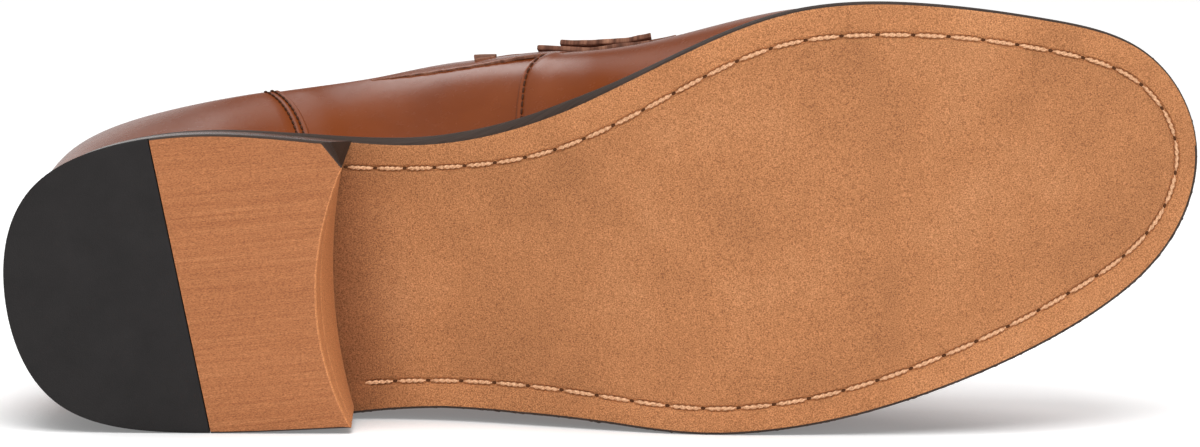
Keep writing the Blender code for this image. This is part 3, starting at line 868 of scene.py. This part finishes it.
# %% [markdown]
# ## Sole stitches
# The thread is two strands twisted together, so each stitch is a tube whose round section is pinched and
# turns along its length. A curve with a bevel would only give a round thread. Each stitch arches up out of
# one needle hole and dives into the next. The holes are small dark ellipsoids between the stitches, painted
# shade for the hollows. The pitch is seven to nine millimetres, shortest at the medial waist.

# %% Stitch places
# Pitch by place round the sole
PITCH = {
    3.4: 8.45, 4.8: 8.5, 5.0: 8.9, 8: 8.9, 10.2: 8.1, 10.4: 8.5, 10.6: 8.8, 10.9: 8.85, 11.2: 8.6, 11.5: 8.1,
    12.5: 8.4, 14.5: 9.0, 15.6: 8.9, 16.1: 8.75, 16.5: 8.4, 16.8: 7.9, 17.6: 7.75, 18.5: 7.4,
}
LINE_STEPS = 3000
# The last stitch is at least this share of a pitch long
SHORTEST_LAST = 0.4


def stitch_places():
    """Places on the ring where the needle went through, from the medial breast round the toe."""
    place = np.linspace(STITCH_START, STITCH_END, LINE_STEPS)
    points = edge(place, stitch_inset(place))
    lengths = np.linalg.norm(np.diff(points, axis=0), axis=1)
    middle = (place[1:] + place[:-1]) / 2
    count = np.concatenate([[0], np.cumsum(lengths / by_place(PITCH, middle))])
    whole = np.arange(math.floor(count[-1] - SHORTEST_LAST) + 1)
    return np.append(np.interp(whole, count, place), STITCH_END)


def channel_point(place, lift):
    """Points over the channel's floor, lift millimetres out of the sole."""
    plan = edge(place, stitch_inset(place))
    return np.column_stack([plan, sole_bottom(plan[:, 0]) + CHANNEL_DEPTH - lift])


needle_places = stitch_places()
print("sole stitches", len(needle_places) - 1)

# %% Twisted stitches
STITCH_COLUMNS = 10
STITCH_ROWS = 24
STITCH_RADIUS = 0.58
STITCH_END_GAP = 0.035
STITCH_LIFT = 0.35
STITCH_DIVE = 0.75
DIVE_POWER = 5
STRAND_PINCH = 0.28
STRAND_TURNS = 5
TIP_POWER = 4
TIP_ROUNDING = 0.6


def thread_tube(bm, line, outwards, radius, pinch=0.0, turns=0.0, columns=STITCH_COLUMNS):
    """A tube along a line of points that closes at both ends and may be pinched into twisted strands."""
    rows = len(line) - 1
    tangent = np.gradient(line, axis=0)
    tangent = tangent / np.linalg.norm(tangent, axis=1, keepdims=True)
    across = np.cross(tangent, outwards)
    across = across / np.linalg.norm(across, axis=1, keepdims=True)
    upright = np.cross(across, tangent)

    def shape(column, row):
        share = row / rows
        angle = column * 2 * math.pi / columns
        twist = math.pi * turns * share
        taper = np.clip(1 - np.abs(2 * share - 1) ** TIP_POWER, 0, 1) ** TIP_ROUNDING
        reach = radius * taper * (1 - pinch + pinch * np.cos(2 * (angle - twist)))
        offset = across[row] * np.cos(angle)[:, None] + upright[row] * np.sin(angle)[:, None]
        return line[row] + offset * reach[:, None]

    moved_grid(bm, columns, rows, shape)


def add_sole_stitches():
    bm = bmesh.new()
    share = np.linspace(STITCH_END_GAP, 1 - STITCH_END_GAP, STITCH_ROWS + 1)
    lift = STITCH_LIFT - STITCH_DIVE * np.abs(2 * share - 1) ** DIVE_POWER
    for start, stop in zip(needle_places, needle_places[1:]):
        line = channel_point(start + (stop - start) * share, lift)
        thread_tube(bm, line, np.array([0, 0, -1.0]), STITCH_RADIUS, STRAND_PINCH, STRAND_TURNS)
    laid_piece("sole_stitches", bm, [sole_thread])


add_sole_stitches()

# %% Needle holes
# Sizes of the dark ellipsoids that paint the shade in each needle hole
HOLE_LENGTH = 0.72
HOLE_WIDTH = 0.42
HOLE_DEPTH = 0.2
HOLE_SEGMENTS = 8
HOLE_RINGS = 5


def add_needle_hole_shades():
    bm = bmesh.new()
    centres = channel_point(needle_places, 0.0)
    along = np.gradient(centres, axis=0)
    for centre, direction in zip(centres, along):
        heading = Matrix.Rotation(math.atan2(direction[1], direction[0]), 4, "Z")
        size = Matrix.Diagonal((HOLE_LENGTH, HOLE_WIDTH, HOLE_DEPTH, 1))
        matrix = Matrix.Translation(centre) @ heading @ size
        bmesh.ops.create_uvsphere(
            bm, u_segments=HOLE_SEGMENTS, v_segments=HOLE_RINGS, radius=1, matrix=matrix
        )
    laid_piece("needle_hole_shades", bm, [hole_shade_finish])


add_needle_hole_shades()

# %% [markdown]
# ## Welt
# Between outsole and upper runs the welt, a strip of dyed leather whose edge is flush with the sole's. It is
# a closed band with rounded corners, and its top is marked by a toothed wheel, as shoemakers do to hide the
# seam. The marks are real ridges, two millimetres apart.

# %% Welt
WELT_COLUMNS = 1056
WELT_WALL = 2.2
WELT_SHARP = 60
WHEEL_PITCH = 2.1
WHEEL_DEPTH = 0.16
WHEEL_ROWS = (5, 6)
# Inset and rise above the underside; the last two rows end under the upper
WELT_ROWS = (
    (0.8, 4.55), (0.35, 4.7), (0.3, 5.1), (0.3, 6.4), (0.4, 6.75), (0.75, 6.95), (1.4, 7.0), (2.4, 7.0),
)
ring_places = np.linspace(0, RING, WELT_COLUMNS + 1)
ring_lengths = np.linalg.norm(np.diff(ring(ring_places)[:, :2], axis=0), axis=1)
ring_run = np.concatenate([[0], np.cumsum(ring_lengths)])


def welt_shape(columns, rows):
    place = ring_places[columns % WELT_COLUMNS]
    margin = ring(place)[:, 2]
    inside = margin + WELT_WALL
    table = np.array([*WELT_ROWS, (0, WELT_ROWS[-1][1]), (0, WELT_ROWS[0][1]), WELT_ROWS[0]])
    inset, rise = table[rows, 0], table[rows, 1]
    hidden = (rows >= len(WELT_ROWS)) & (rows < len(table) - 1)
    outset = SLANT_OUT * by_place(EDGE_SLANT, place) + by_place(EDGE_OUT, place)
    inset = np.where(hidden, inside, np.minimum(inset - outset, inside))
    wheel = np.cos(2 * math.pi * ring_run[columns % WELT_COLUMNS] / WHEEL_PITCH)
    marked = np.isin(rows, WHEEL_ROWS)
    plan = edge(place, inset)
    return np.column_stack([plan, sole_bottom(plan[:, 0]) + rise + WHEEL_DEPTH * wheel * marked])


bm = bmesh.new()
moved_grid(bm, WELT_COLUMNS, len(WELT_ROWS) + 2, welt_shape)
laid_piece("welt_finished", bm, [welt_finish], ["welt"], WELT_SHARP)

# %% [markdown]
# ## Heel
# The heel is a stack of leather whose side is dyed dark like the sole's edge. On the floor lies the walking
# layer, black rubber behind a slanted joint and bare leather ahead of it. The breast, its front face, is
# hollow and undyed, and the medial corner is cut off so that it can't catch. Booleans could cut a block, but
# taper and hollow change with height. So one function draws the outline at any height, a closed grid follows
# it, and a plane cuts the walking layer in two at the joint.

# %% Heel outline
LIFT = 5.7
GAP = 0.3
FLOOR_TAPER = -1.6
SEAT_TAPER = 0.2
SPLIT_X = 43.06
SPLIT_SLANT = 0.0972
HEEL_SIDE_STEPS = 110
BREAST_STEPS = 36
HEEL_SHARP = 35
HEEL_MERGE = 1e-4
# Rise and inset of the rows that round a layer's edge
HEEL_ROUNDING = ((0.0, 1.2), (0.0, 0.45), (0.08, 0.18), (0.3, 0.03), (0.6, 0.0))
# A face looks ahead when x has more than this share of its level direction, and down beyond this z
LOOKS_AHEAD = 0.6
LOOKS_DOWN = -0.97
HEEL_ENDS = {
    "floor": dict(lateral_x=82.7, cut_x=82.7, cut_end=(87.4, -19.7), hollow=7.7),
    "seat": dict(lateral_x=82.8, cut_x=89.6, cut_end=(86.3, -17.2), hollow=3.5),
}


def heel_outline(share):
    """Heel outline, share 0 on the floor and 1 at the seat: side round the back, cut corner, breast."""
    ends = []
    for name, taper in (("floor", FLOOR_TAPER), ("seat", SEAT_TAPER)):
        end = HEEL_ENDS[name]
        start = place_at(end["lateral_x"])
        stop = place_at(end["cut_x"], medial=True) - RING
        side = edge(np.linspace(start, stop, HEEL_SIDE_STEPS + 1), taper)
        t = np.linspace(0, 1, BREAST_STEPS + 1)[:-1, None]
        breast = np.array(end["cut_end"]) * (1 - t) + side[0] * t
        breast = breast - np.array([4 * end["hollow"], 0]) * t * (1 - t)
        ends.append(np.vstack([side, breast]))
    return ends[0] * (1 - share) + ends[1] * share


def shrunk(loop, inset):
    """A plan loop moved in by inset, along the mean of its neighbouring edges' normals."""
    along = np.roll(loop, -1, axis=0) - np.roll(loop, 1, axis=0)
    inwards = np.column_stack([along[:, 1], -along[:, 0]])
    inwards = inwards / np.linalg.norm(inwards, axis=1, keepdims=True)
    area = np.sum(loop[:, 0] * np.roll(loop[:, 1], -1) - np.roll(loop[:, 0], -1) * loop[:, 1])
    return loop - inwards * inset * math.copysign(1, area)


def close_up(bm):
    """Fills whatever is open."""
    bmesh.ops.holes_fill(bm, edges=[side for side in bm.edges if side.is_boundary], sides=0)


def heel_layer(low, high):
    """A closed bmesh of the heel between two heights, with rounded edges."""
    levels = [(low + up_by, in_by) for up_by, in_by in HEEL_ROUNDING]
    levels += [(high - up_by, in_by) for up_by, in_by in reversed(HEEL_ROUNDING)]
    loops = []
    for z, inset in levels:
        loop = shrunk(heel_outline(z / HEEL_HEIGHT), inset)
        loops.append(np.column_stack([loop, np.full(len(loop), z)]))
    loops = np.array(loops)
    count = loops.shape[1]
    bm = bmesh.new()
    moved_grid(bm, count, len(levels) - 1, lambda columns, rows: loops[rows, columns % count])
    bmesh.ops.remove_doubles(bm, verts=bm.verts, dist=HEEL_MERGE)
    close_up(bm)
    bmesh.ops.recalc_face_normals(bm, faces=bm.faces)
    return bm


def cut_at_joint(bm, keep_rear):
    """Keeps the layer behind or ahead of the slanted joint, half a gap away from it."""
    side = 1 if keep_rear else -1
    point = (SPLIT_X - side * GAP / 2, 0, 0)
    normal = Vector((side, -side * SPLIT_SLANT, 0)).normalized()
    geom = [*bm.verts, *bm.edges, *bm.faces]
    bmesh.ops.bisect_plane(bm, geom=geom, plane_co=point, plane_no=normal, clear_outer=True)
    close_up(bm)


def dye_sides(bm, breast, corner):
    """Numbers each face's finish: 0 for the walking face, 1 for the sides, breast and corner as told."""
    for face in bm.faces:
        middle = face.calc_center_median()
        share = middle.z / HEEL_HEIGHT
        cut_end = HEEL_ENDS["floor"]["cut_end"][1] * (1 - share) + HEEL_ENDS["seat"]["cut_end"][1] * share
        ahead = face.normal.x > LOOKS_AHEAD * math.hypot(face.normal.x, face.normal.y)
        walking = face.normal.z < LOOKS_DOWN and middle.z < LIFT / 2
        if walking:
            face.material_index = 0
        elif ahead:
            face.material_index = breast if middle.y > cut_end else corner
        else:
            face.material_index = 1


print("heel outline", len(heel_outline(0)), "points")

# %% Heel pieces
bm = heel_layer(LIFT + GAP, HEEL_HEIGHT - GAP)
dye_sides(bm, breast=0, corner=2)
# The breast's faces take the paler copy of the heel leather: painted light
finishes = [breast_painted_light_finish, heel_edge_finish, edge_finish]
laid_piece("heel_stack_finished", bm, finishes, ["heel_stack"], HEEL_SHARP)

bm = heel_layer(0, LIFT)
cut_at_joint(bm, keep_rear=True)
finishes = [rubber_finish]
laid_piece("toplift_rubber_finished", bm, finishes, ["toplift_rubber"], HEEL_SHARP)

bm = heel_layer(0, LIFT)
cut_at_joint(bm, keep_rear=False)
dye_sides(bm, breast=2, corner=1)
# The breast's faces take the paler copy of the heel leather: painted light
finishes = [heel_finish, edge_finish, breast_painted_light_finish]
laid_piece("toplift_leather_finished", bm, finishes, ["toplift_leather"], HEEL_SHARP)

# %% [markdown]
# ## Insole
# Inside lies the insole under its smooth sock of lining leather. It is a grid of strips across the shoe,
# slightly dished so that its edge turns up against the upper, and a Solidify modifier gives it thickness. A
# flat plate would be simpler, but it would show no soft shade along its edge.

# %% Insole
INSOLE_INSET = 2.6
INSOLE_TOP = 8.3
INSOLE_THICKNESS = 3.4
INSOLE_DISH = 0.7
INSOLE_COLUMNS = 160
INSOLE_ACROSS = 30


def insole_inset(place):
    return ring(place)[:, 2] + INSOLE_INSET


def insole_shape(columns, rows):
    points = strips_across(insole_inset, INSOLE_TOP, INSOLE_COLUMNS, INSOLE_ACROSS)(columns, rows)
    middle = 4 * (rows / INSOLE_ACROSS) * (1 - rows / INSOLE_ACROSS)
    points[:, 2] -= INSOLE_DISH * middle**0.5
    return points


bm = bmesh.new()
moved_grid(bm, INSOLE_COLUMNS, INSOLE_ACROSS, insole_shape)
bmesh.ops.remove_doubles(bm, verts=bm.verts, dist=MERGE_WITHIN)
face_up(bm)
insole = laid_piece("insole_finished", bm, [lining_finish], ["insole"])
thicken(insole, INSOLE_THICKNESS, under=0, rim=0)

# %% [markdown]
# ## Upper
# The upper is cut from several panels: quarters along the sides, a counter round the heel that lies over
# them, a vamp over the front and a raised apron seam round its top. On a finished shoe they read as one
# skin with steps, so the outer face is one fine grid over the last. Steps, puffs beside the stitches and
# the apron's ridge are lifts along the last's normal. Solidify makes the wall, lined on its inside.

# %% Collar and panels
WALL = 2.0
COLLAR = 59.0
COLLAR_HEEL_RISE = 7.0
COLLAR_DIP_X = 60.0
COLLAR_FRONT_X = 100.0
THROAT_X = 165.0
THROAT_RISE = 21.0
THROAT_POWER = 3.5
LATERAL_DROP = 3.0
THROAT = 5.45
APRON_ANGLE = math.radians(56)
APRON_START = 6.38
APRON_FADE = 0.3
APRON_RISE = 1.2
APRON_WIDTH = 0.022
RIM_STEPS = 1200


def collar(x, lateral):
    heel = COLLAR_HEEL_RISE * np.clip((COLLAR_DIP_X - x) / COLLAR_DIP_X, 0, None) ** 2
    rise = np.clip((x - COLLAR_FRONT_X) / (THROAT_X - COLLAR_FRONT_X), 0, None)
    drop = LATERAL_DROP * np.sin(math.pi * np.clip(x / THROAT_X, 0, 1)) * lateral
    return COLLAR + heel + THROAT_RISE * rise**THROAT_POWER - drop


rim_sides = np.linspace(0, THROAT, RIM_STEPS)
lateral_rim = np.minimum(rise_angle(rim_sides, collar), APRON_ANGLE)
medial_rim = np.minimum(rise_angle(RING - rim_sides, collar), APRON_ANGLE)


def collar_angle(place):
    """Where each rib stops: at the collar behind the throat, at the apron's seam ahead of it."""
    side = np.minimum(place, RING - place)
    lateral = np.interp(side, rim_sides, lateral_rim)
    medial = np.interp(side, rim_sides, medial_rim)
    return np.where(side < THROAT, np.where(place < TOE, lateral, medial), APRON_ANGLE)


print("collar", round(float(collar(COLLAR_DIP_X, 0)), 1), "mm high at the side")

# %% Panel seams
COUNTER_SEAM = 3.225
VAMP_SEAM = 4.765
VAMP_COVERED = 0.5
LEAN_END = 6.3
MM_PER_PLACE = 30.0
# Between these places a column leans with the counter's edge, with neither, or with the vamp's
LEAN_KNOTS = (0, COUNTER_SEAM - 0.25, COUNTER_SEAM + 0.1, VAMP_SEAM - 0.12, VAMP_SEAM + 0.25, LEAN_END)
LEAN_BACK = (-0.20, -0.08)
LEAN_AHEAD = (0.55, 8.6)
LEAN_AHEAD_POWER = 6
COUNTER_STEP = 1.0
COUNTER_FADE = 0.9
VAMP_STEP = 0.8
STEP_ROUNDING = 0.45
COUNTER_ROWS = (1.6, 3.2)
VAMP_ROW = 1.6
# Height and width of the stitch troughs and of the puffs beside them, and where the puffs are highest
COUNTER_TROUGH = (0.22, 0.5)
COUNTER_PUFF = (0.25, 3.0)
COUNTER_PUFF_AT = -4.5
VAMP_TROUGH = (0.3, 0.6)
VAMP_PUFF = (0.35, 3.0)
VAMP_PUFF_AT = 5.0
APRON_TROUGH = 0.5
APRON_TROUGH_AT = 2.6


def seam_lean(place, share):
    """How far a column leans along the ring on its way up: the counter's edge back, the vamp's ahead."""
    side = np.minimum(place, RING - place)
    low = np.minimum(share, VAMP_COVERED)
    back = LEAN_BACK[0] * share + LEAN_BACK[1] * share**2
    ahead = LEAN_AHEAD[0] * low + LEAN_AHEAD[1] * low**LEAN_AHEAD_POWER
    ahead = ahead * np.clip((1 - share) / (1 - VAMP_COVERED), 0, 1)
    lean = back * np.interp(side, LEAN_KNOTS, (0, 1, 1, 0, 0, 0))
    lean = lean + ahead * np.interp(side, LEAN_KNOTS, (0, 0, 0, 1, 1, 0))
    return np.where(place < TOE, lean, -lean)


def hump(distance, height, width):
    """A soft rise of this height and width."""
    return height * np.exp(-((distance / width) ** 2))


def step_profile(distance):
    """A cut panel's rounded edge: nothing before it, full height within half a millimetre."""
    return np.clip(distance / STEP_ROUNDING, 0, 1) ** 0.5


def panel_lift(place, share, angle):
    """How far the outer face stands off the last: panels, stitch troughs and the apron's ridge."""
    side = np.minimum(place, RING - place)
    behind = (COUNTER_SEAM - side) * MM_PER_PLACE
    ahead = (side - VAMP_SEAM) * MM_PER_PLACE
    counter = COUNTER_STEP * step_profile(behind)
    for row in COUNTER_ROWS:
        counter = counter - hump(behind - row, *COUNTER_TROUGH)
    counter = counter + hump(behind - COUNTER_PUFF_AT, *COUNTER_PUFF)
    lift = counter * np.clip((1 - share) / (1 - COUNTER_FADE), 0, 1) ** 0.5
    lift = lift + VAMP_STEP * step_profile(ahead)
    lift = lift - hump(ahead - VAMP_ROW, *VAMP_TROUGH) + hump(ahead - VAMP_PUFF_AT, *VAMP_PUFF)
    begun = np.clip((side - APRON_START) / APRON_FADE, 0, 1)
    from_seam = (angle - APRON_ANGLE) / APRON_WIDTH
    trough = hump(np.abs(from_seam) - APRON_TROUGH_AT, APRON_TROUGH, 1.0)
    return lift + begun * (hump(from_seam, APRON_RISE, 1.0) - trough)


def upper_rib(place, share):
    """The leaning column's place and rib angle at a share of the way up to the collar."""
    leant = place + seam_lean(place, share)
    return leant, collar_angle(leant) * share


def on_upper(place, share, lift=0.0):
    """Points on the upper's outer face, lift millimetres off it."""
    leant, angle = upper_rib(place, share)
    raised = panel_lift(place, share, angle) + lift
    return last(leant, angle) + last_normal(leant, angle) * raised[..., None]


print("counter at", COUNTER_SEAM, "and vamp at", VAMP_SEAM, "on the ring")

# %% Upper grids
PLACE_STEP = 0.055
RAW_STEP = 0.25
UPPER_ROUNDING = 0.5
# Millimetres beside a seam at which columns stand
BESIDE_SEAM = (-0.6, -0.02, 0.0, 0.08, 0.25, 0.45, 0.8, 1.2, 1.6, 2.0, 2.4, 2.8, 3.2, 3.6, 4.2)
SEAM_OFFSETS = np.array(BESIDE_SEAM) / MM_PER_PLACE
# Shares of the way up the side, where the last four of the even rows give way to closer ones at the collar,
# and shares of the way over the top
SIDE_ROWS = 34
SIDE_POWER = 1.1
COLLAR_SHARES = (0.92, 0.945, 0.962, 0.976, 0.988, 1.0)
SIDE_SHARES = np.concatenate([np.linspace(0, 1, SIDE_ROWS)[:-4] ** SIDE_POWER, COLLAR_SHARES])
TOP_SHARES = np.array(
    [0, 0.02, 0.042, 0.07, 0.1, 0.14, 0.2, 0.28, 0.37, 0.47, 0.57, 0.67, 0.77, 0.86, 0.94, 1.0]
)


def upper_places():
    """Places round the ring, the same on both sides, closer together beside the seams."""
    even = np.linspace(0, TOE, round(TOE / PLACE_STEP) + 1)
    extra = np.concatenate([COUNTER_SEAM - SEAM_OFFSETS, VAMP_SEAM + SEAM_OFFSETS, [THROAT]])
    far = np.abs(even[:, None] - extra).min(axis=1) > PLACE_STEP / 3
    far[[0, -1]] = True
    lateral = np.sort(np.concatenate([even[far], extra]))
    return np.concatenate([lateral, RING - lateral[-2::-1]])


def add_upper():
    places = upper_places()
    bm = bmesh.new()

    def side_shape(columns, rows):
        return on_upper(places[columns], SIDE_SHARES[rows])

    moved_grid(bm, len(places) - 1, len(SIDE_SHARES) - 1, side_shape)
    column_of = bm.verts.layers.int["column"]
    sides = np.minimum(places, RING - places)
    for face in bm.faces:
        side = np.mean([sides[vertex[column_of]] for vertex in face.verts])
        from_edge = np.array([COUNTER_SEAM - side, side - VAMP_SEAM]) * MM_PER_PLACE
        face.material_index = int(np.any((from_edge > 0) & (from_edge < RAW_STEP)))
    top = places[sides > THROAT - NUDGE]

    def top_shape(columns, rows):
        angle = APRON_ANGLE + (RIGHT_ANGLE - APRON_ANGLE) * TOP_SHARES[rows]
        halves = []
        for place in (top[columns], RING - top[columns]):
            raised = panel_lift(place, np.ones(len(place)), angle)
            halves.append(last(place, angle) + last_normal(place, angle) * raised[:, None])
        return np.where((rows == len(TOP_SHARES) - 1)[:, None], (halves[0] + halves[1]) / 2, halves[0])

    moved_grid(bm, len(top) - 1, len(TOP_SHARES) - 1, top_shape)
    finishes = [upper_finish, raw_finish, lining_finish, lining_finish, raw_finish]
    piece = laid_piece("upper_finished", bm, finishes, ["upper"])
    thicken(piece, WALL, under=2, rim=4)
    round_off(piece, UPPER_ROUNDING)


add_upper()

# %% [markdown]
# ## Collar bands
# On each side a band of leather lies along the collar. It starts as a point beside the heel, widens towards
# the straps and runs under them, over the top of the vamp's seam. Its lower edge is cut raw, and a small raw
# tab stands on it behind the straps. Both could be lifts of the upper's grid, but a cut edge that lies on
# top needs a thickness of its own, so they are grids on the last that Solidify thickens.

# %% Collar bands
BAND_START = 3.7
BAND_END = 5.42
BAND_COLUMNS = 90
BAND_ROWS = 12
BAND_LIFT = 0.5
BAND_RIM_LIFT = 0.1
BAND_OVER_VAMP = 0.5
BAND_THICKNESS = 0.8
BAND_ROUNDING = 0.2
# The lower edge is this high at the band's point and falls by the slope on its way ahead
BAND_POINT = 3.5
BAND_POINT_HIGH = 0.99
BAND_SLOPE = 0.28
# Start and length, on the ring, of the rise from the point and of the rise over the vamp
BAND_RISE = (BAND_POINT, 0.7)
BAND_VAMP_RISE = (4.6, 0.5)
# Depth of the lower edge's ripple and its two rates
RIPPLE = 0.006
RIPPLE_RATES = (23, 61)
TAB_ENDS = (4.62, 4.8)
TAB_LOW = 0.8
TAB_LIFT = 1.5
TAB_LOW_LIFT = 0.3
TAB_COLUMNS = 16


def eased(value, start, length):
    """0 to 1, with a soft beginning and end, over a length from the start."""
    value = np.clip((value - start) / length, 0, 1)
    return value * value * (3 - 2 * value)


def band_low(side):
    """Share of the way up to the collar at which the band's lower edge lies."""
    return BAND_POINT_HIGH - BAND_SLOPE * (side - BAND_POINT)


def band_point(side, share, medial, lift=0.0):
    """Points on the band's face, which stands out below and sinks to its rear point and the rim."""
    place = RING - side if medial else side
    angle = collar_angle(place) * share
    up_share = np.clip((share - band_low(side)) / (1 - band_low(side)), 0, 1)
    raised = BAND_LIFT + (BAND_RIM_LIFT - BAND_LIFT) * up_share
    raised = raised * eased(side, *BAND_RISE)
    raised = raised + BAND_OVER_VAMP * eased(side, *BAND_VAMP_RISE) * (1 - up_share)
    return last(place, angle) + last_normal(place, angle) * (raised + lift)[:, None]


def add_collar_bands():
    bm = bmesh.new()
    for medial in (False, True):

        def band_shape(columns, rows, medial=medial):
            side = BAND_START + (BAND_END - BAND_START) * columns / BAND_COLUMNS
            low = band_low(side) + RIPPLE * np.sin(side * RIPPLE_RATES[0]) * np.sin(side * RIPPLE_RATES[1])
            return band_point(side, low + (1 - low) * rows / BAND_ROWS, medial)

        def tab_shape(columns, rows, medial=medial):
            side = TAB_ENDS[0] + (TAB_ENDS[1] - TAB_ENDS[0]) * columns / TAB_COLUMNS
            up_share = rows / BAND_ROWS
            lift = TAB_LIFT * (TAB_LOW_LIFT + (1 - TAB_LOW_LIFT) * up_share)
            return band_point(side, TAB_LOW + (1 - TAB_LOW) * up_share, medial, lift)

        moved_grid(bm, BAND_COLUMNS, BAND_ROWS, band_shape)
        count = len(bm.faces)
        moved_grid(bm, TAB_COLUMNS, BAND_ROWS, tab_shape)
        bm.faces.ensure_lookup_table()
        for face in bm.faces[count:]:
            face.material_index = 2
    piece = laid_piece("collar_bands", bm, [upper_finish, lining_finish, raw_finish])
    thicken(piece, BAND_THICKNESS, under=2, rim=2)
    round_off(piece, BAND_ROUNDING)


add_collar_bands()

# %% [markdown]
# ## Seam stitches
# The counter is held by two rows of dark thread just inside its front edge, the vamp by one row ahead of
# its rear edge. A texture could draw them, but it would cast no shadow. Each stitch is a short tube that
# dips into the leather at both ends.

# %% Seam rows
SEAM_PITCH = 2.6
SEAM_RADIUS = 0.3
SEAM_ROWS = 8
SEAM_SIDES = 6
SEAM_SPAN = (0.08, 0.92)
SEAM_LIFT = 0.22
SEAM_DIVE = 0.5
SEAM_DIVE_POWER = 4
# Shares of the way up at which the rows start and the counter's rows end, and the steps between
SEWN_FROM = 0.03
COUNTER_SEWN_TO = 0.985
SEWN_STEPS = 120


def stitch_row(bm, place, share):
    """Stitches up a column of the upper, given many shares of the way up."""
    points = on_upper(place, share)
    run = np.concatenate([[0], np.cumsum(np.linalg.norm(np.diff(points, axis=0), axis=1))])
    count = max(1, round(run[-1] / SEAM_PITCH))
    within = np.linspace(*SEAM_SPAN, SEAM_ROWS + 1)
    lift = SEAM_LIFT - SEAM_DIVE * np.abs(2 * within - 1) ** SEAM_DIVE_POWER
    here = np.full(len(within), place[0])
    for number in range(count):
        up_share = np.interp((number + within) * run[-1] / count, run, share)
        outwards = last_normal(*upper_rib(here, up_share))
        line = on_upper(here, up_share, lift)
        thread_tube(bm, line, outwards, SEAM_RADIUS, columns=SEAM_SIDES)


def add_seam_stitches():
    bm = bmesh.new()
    columns = [(COUNTER_SEAM - row / MM_PER_PLACE, COUNTER_SEWN_TO) for row in COUNTER_ROWS]
    columns.append((VAMP_SEAM + VAMP_ROW / MM_PER_PLACE, VAMP_COVERED))
    for place, top in columns:
        share = np.linspace(SEWN_FROM, top, SEWN_STEPS)
        for here in (place, RING - place):
            stitch_row(bm, np.full(len(share), here), share)
    laid_piece("seam_stitches", bm, [seam_thread])


add_seam_stitches()

# %% [markdown]
# ## Tongue and straps
# Three sheets lie across the instep: the tongue inside the throat and two straps on top of each other over
# it. They could be draped by a cloth simulation, but sewn leather keeps the shape of the last. So each is a
# grid that runs from its end on the lateral side over the ridge to its medial end, at a set distance off the
# last. Solidify gives the leather its thickness, with raw edges on the rim.

# %% Sheets across the instep
SHEET_COLUMNS = (
    "rear", "front", "sweep", "lateral_rear", "lateral_front", "medial_rear", "medial_front", "low", "high"
)
SHEETS = {
    "tongue": (4.5, 6.45, 0.4, 62, 58, 62, 58, -4.5, -2.75),
    "strap_base": (5.15, 6.37, 0, 58, 50, 54, 43, 2.0, 3.4),
    "strap_top": (5.33, 6.17, 0, 59, 52, 55, 45, 4.3, 5.8),
}
SHEET_ACROSS = 44
SHEET_ALONG = 60
RAGGED_END = 0.25
RAGGED_LIFT = 0.06
RAGGED_KERNEL = 17
RAGGED_SHARE = 0.08
SHEET_SPREAD = 1.25
SHEET_ROUNDING = 0.35
CROWN_SPAN = 16
CROWN_KERNEL = 8


def rounded_crown(columns, rows, points):
    """Rounds the fold that the two sides of a sheet make where they meet on the ridge."""
    table = np.zeros((SHEET_ALONG + 1, 2 * SHEET_ACROSS + 1, 3))
    table[columns, rows] = points
    weight = np.clip(1 - np.abs(rows - SHEET_ACROSS) / CROWN_SPAN, 0, 1)[:, None]
    steps = np.arange(-CROWN_KERNEL, CROWN_KERNEL + 1)
    beside = np.clip(rows[:, None] + steps, 0, 2 * SHEET_ACROSS)
    return points + (table[columns[:, None], beside].mean(axis=1) - points) * weight


def sheet_shape(sheet):
    """A function for a sheet's grid. Its two ends are cut by hand, so they waver a little."""
    draws = np.random.default_rng(round(100 * sheet["front"]))
    weights = np.hanning(RAGGED_KERNEL + 2)[1:-1]
    weights = weights / np.linalg.norm(weights)
    rough = np.convolve(draws.normal(0, 1, SHEET_ALONG + RAGGED_KERNEL), weights, "valid")

    def shape(columns, rows):
        along = columns / SHEET_ALONG
        medial = rows > SHEET_ACROSS
        across = 1 - np.abs(rows / SHEET_ACROSS - 1)
        at_end = np.clip(1 - across / RAGGED_SHARE, 0, 1)
        start = sheet["rear"] + sheet["sweep"] * (1 - across) ** 2
        station = start + (sheet["front"] - start) * along
        points = []
        for side in ("lateral", "medial"):
            place = station if side == "lateral" else RING - station
            height = sheet[side + "_rear"] * (1 - along) + sheet[side + "_front"] * along
            height = height + RAGGED_END * rough[columns] * at_end
            end = rise_angle(place, lambda x, lateral: height)
            angle = end + (RIGHT_ANGLE - end) * (1 - (1 - across) ** SHEET_SPREAD)
            raised = sheet["high"] + RAGGED_LIFT * rough[SHEET_ALONG - columns] * at_end
            points.append(last(place, angle) + last_normal(place, angle) * raised[:, None])
        crown = (rows == SHEET_ACROSS)[:, None]
        sides = np.where(medial[:, None], points[1], points[0])
        return rounded_crown(columns, rows, np.where(crown, (points[0] + points[1]) / 2, sides))

    return shape


def add_sheet(name):
    sheet = dict(zip(SHEET_COLUMNS, SHEETS[name]))
    bm = bmesh.new()
    moved_grid(bm, SHEET_ALONG, 2 * SHEET_ACROSS, sheet_shape(sheet))
    face_up(bm)
    finishes = [upper_finish, lining_finish, raw_finish]
    piece = laid_piece(name + "_finished", bm, finishes, [name])
    thicken(piece, sheet["high"] - sheet["low"], under=1 if name == "tongue" else 2, rim=2)
    round_off(piece, SHEET_ROUNDING)


for name in SHEETS:
    add_sheet(name)
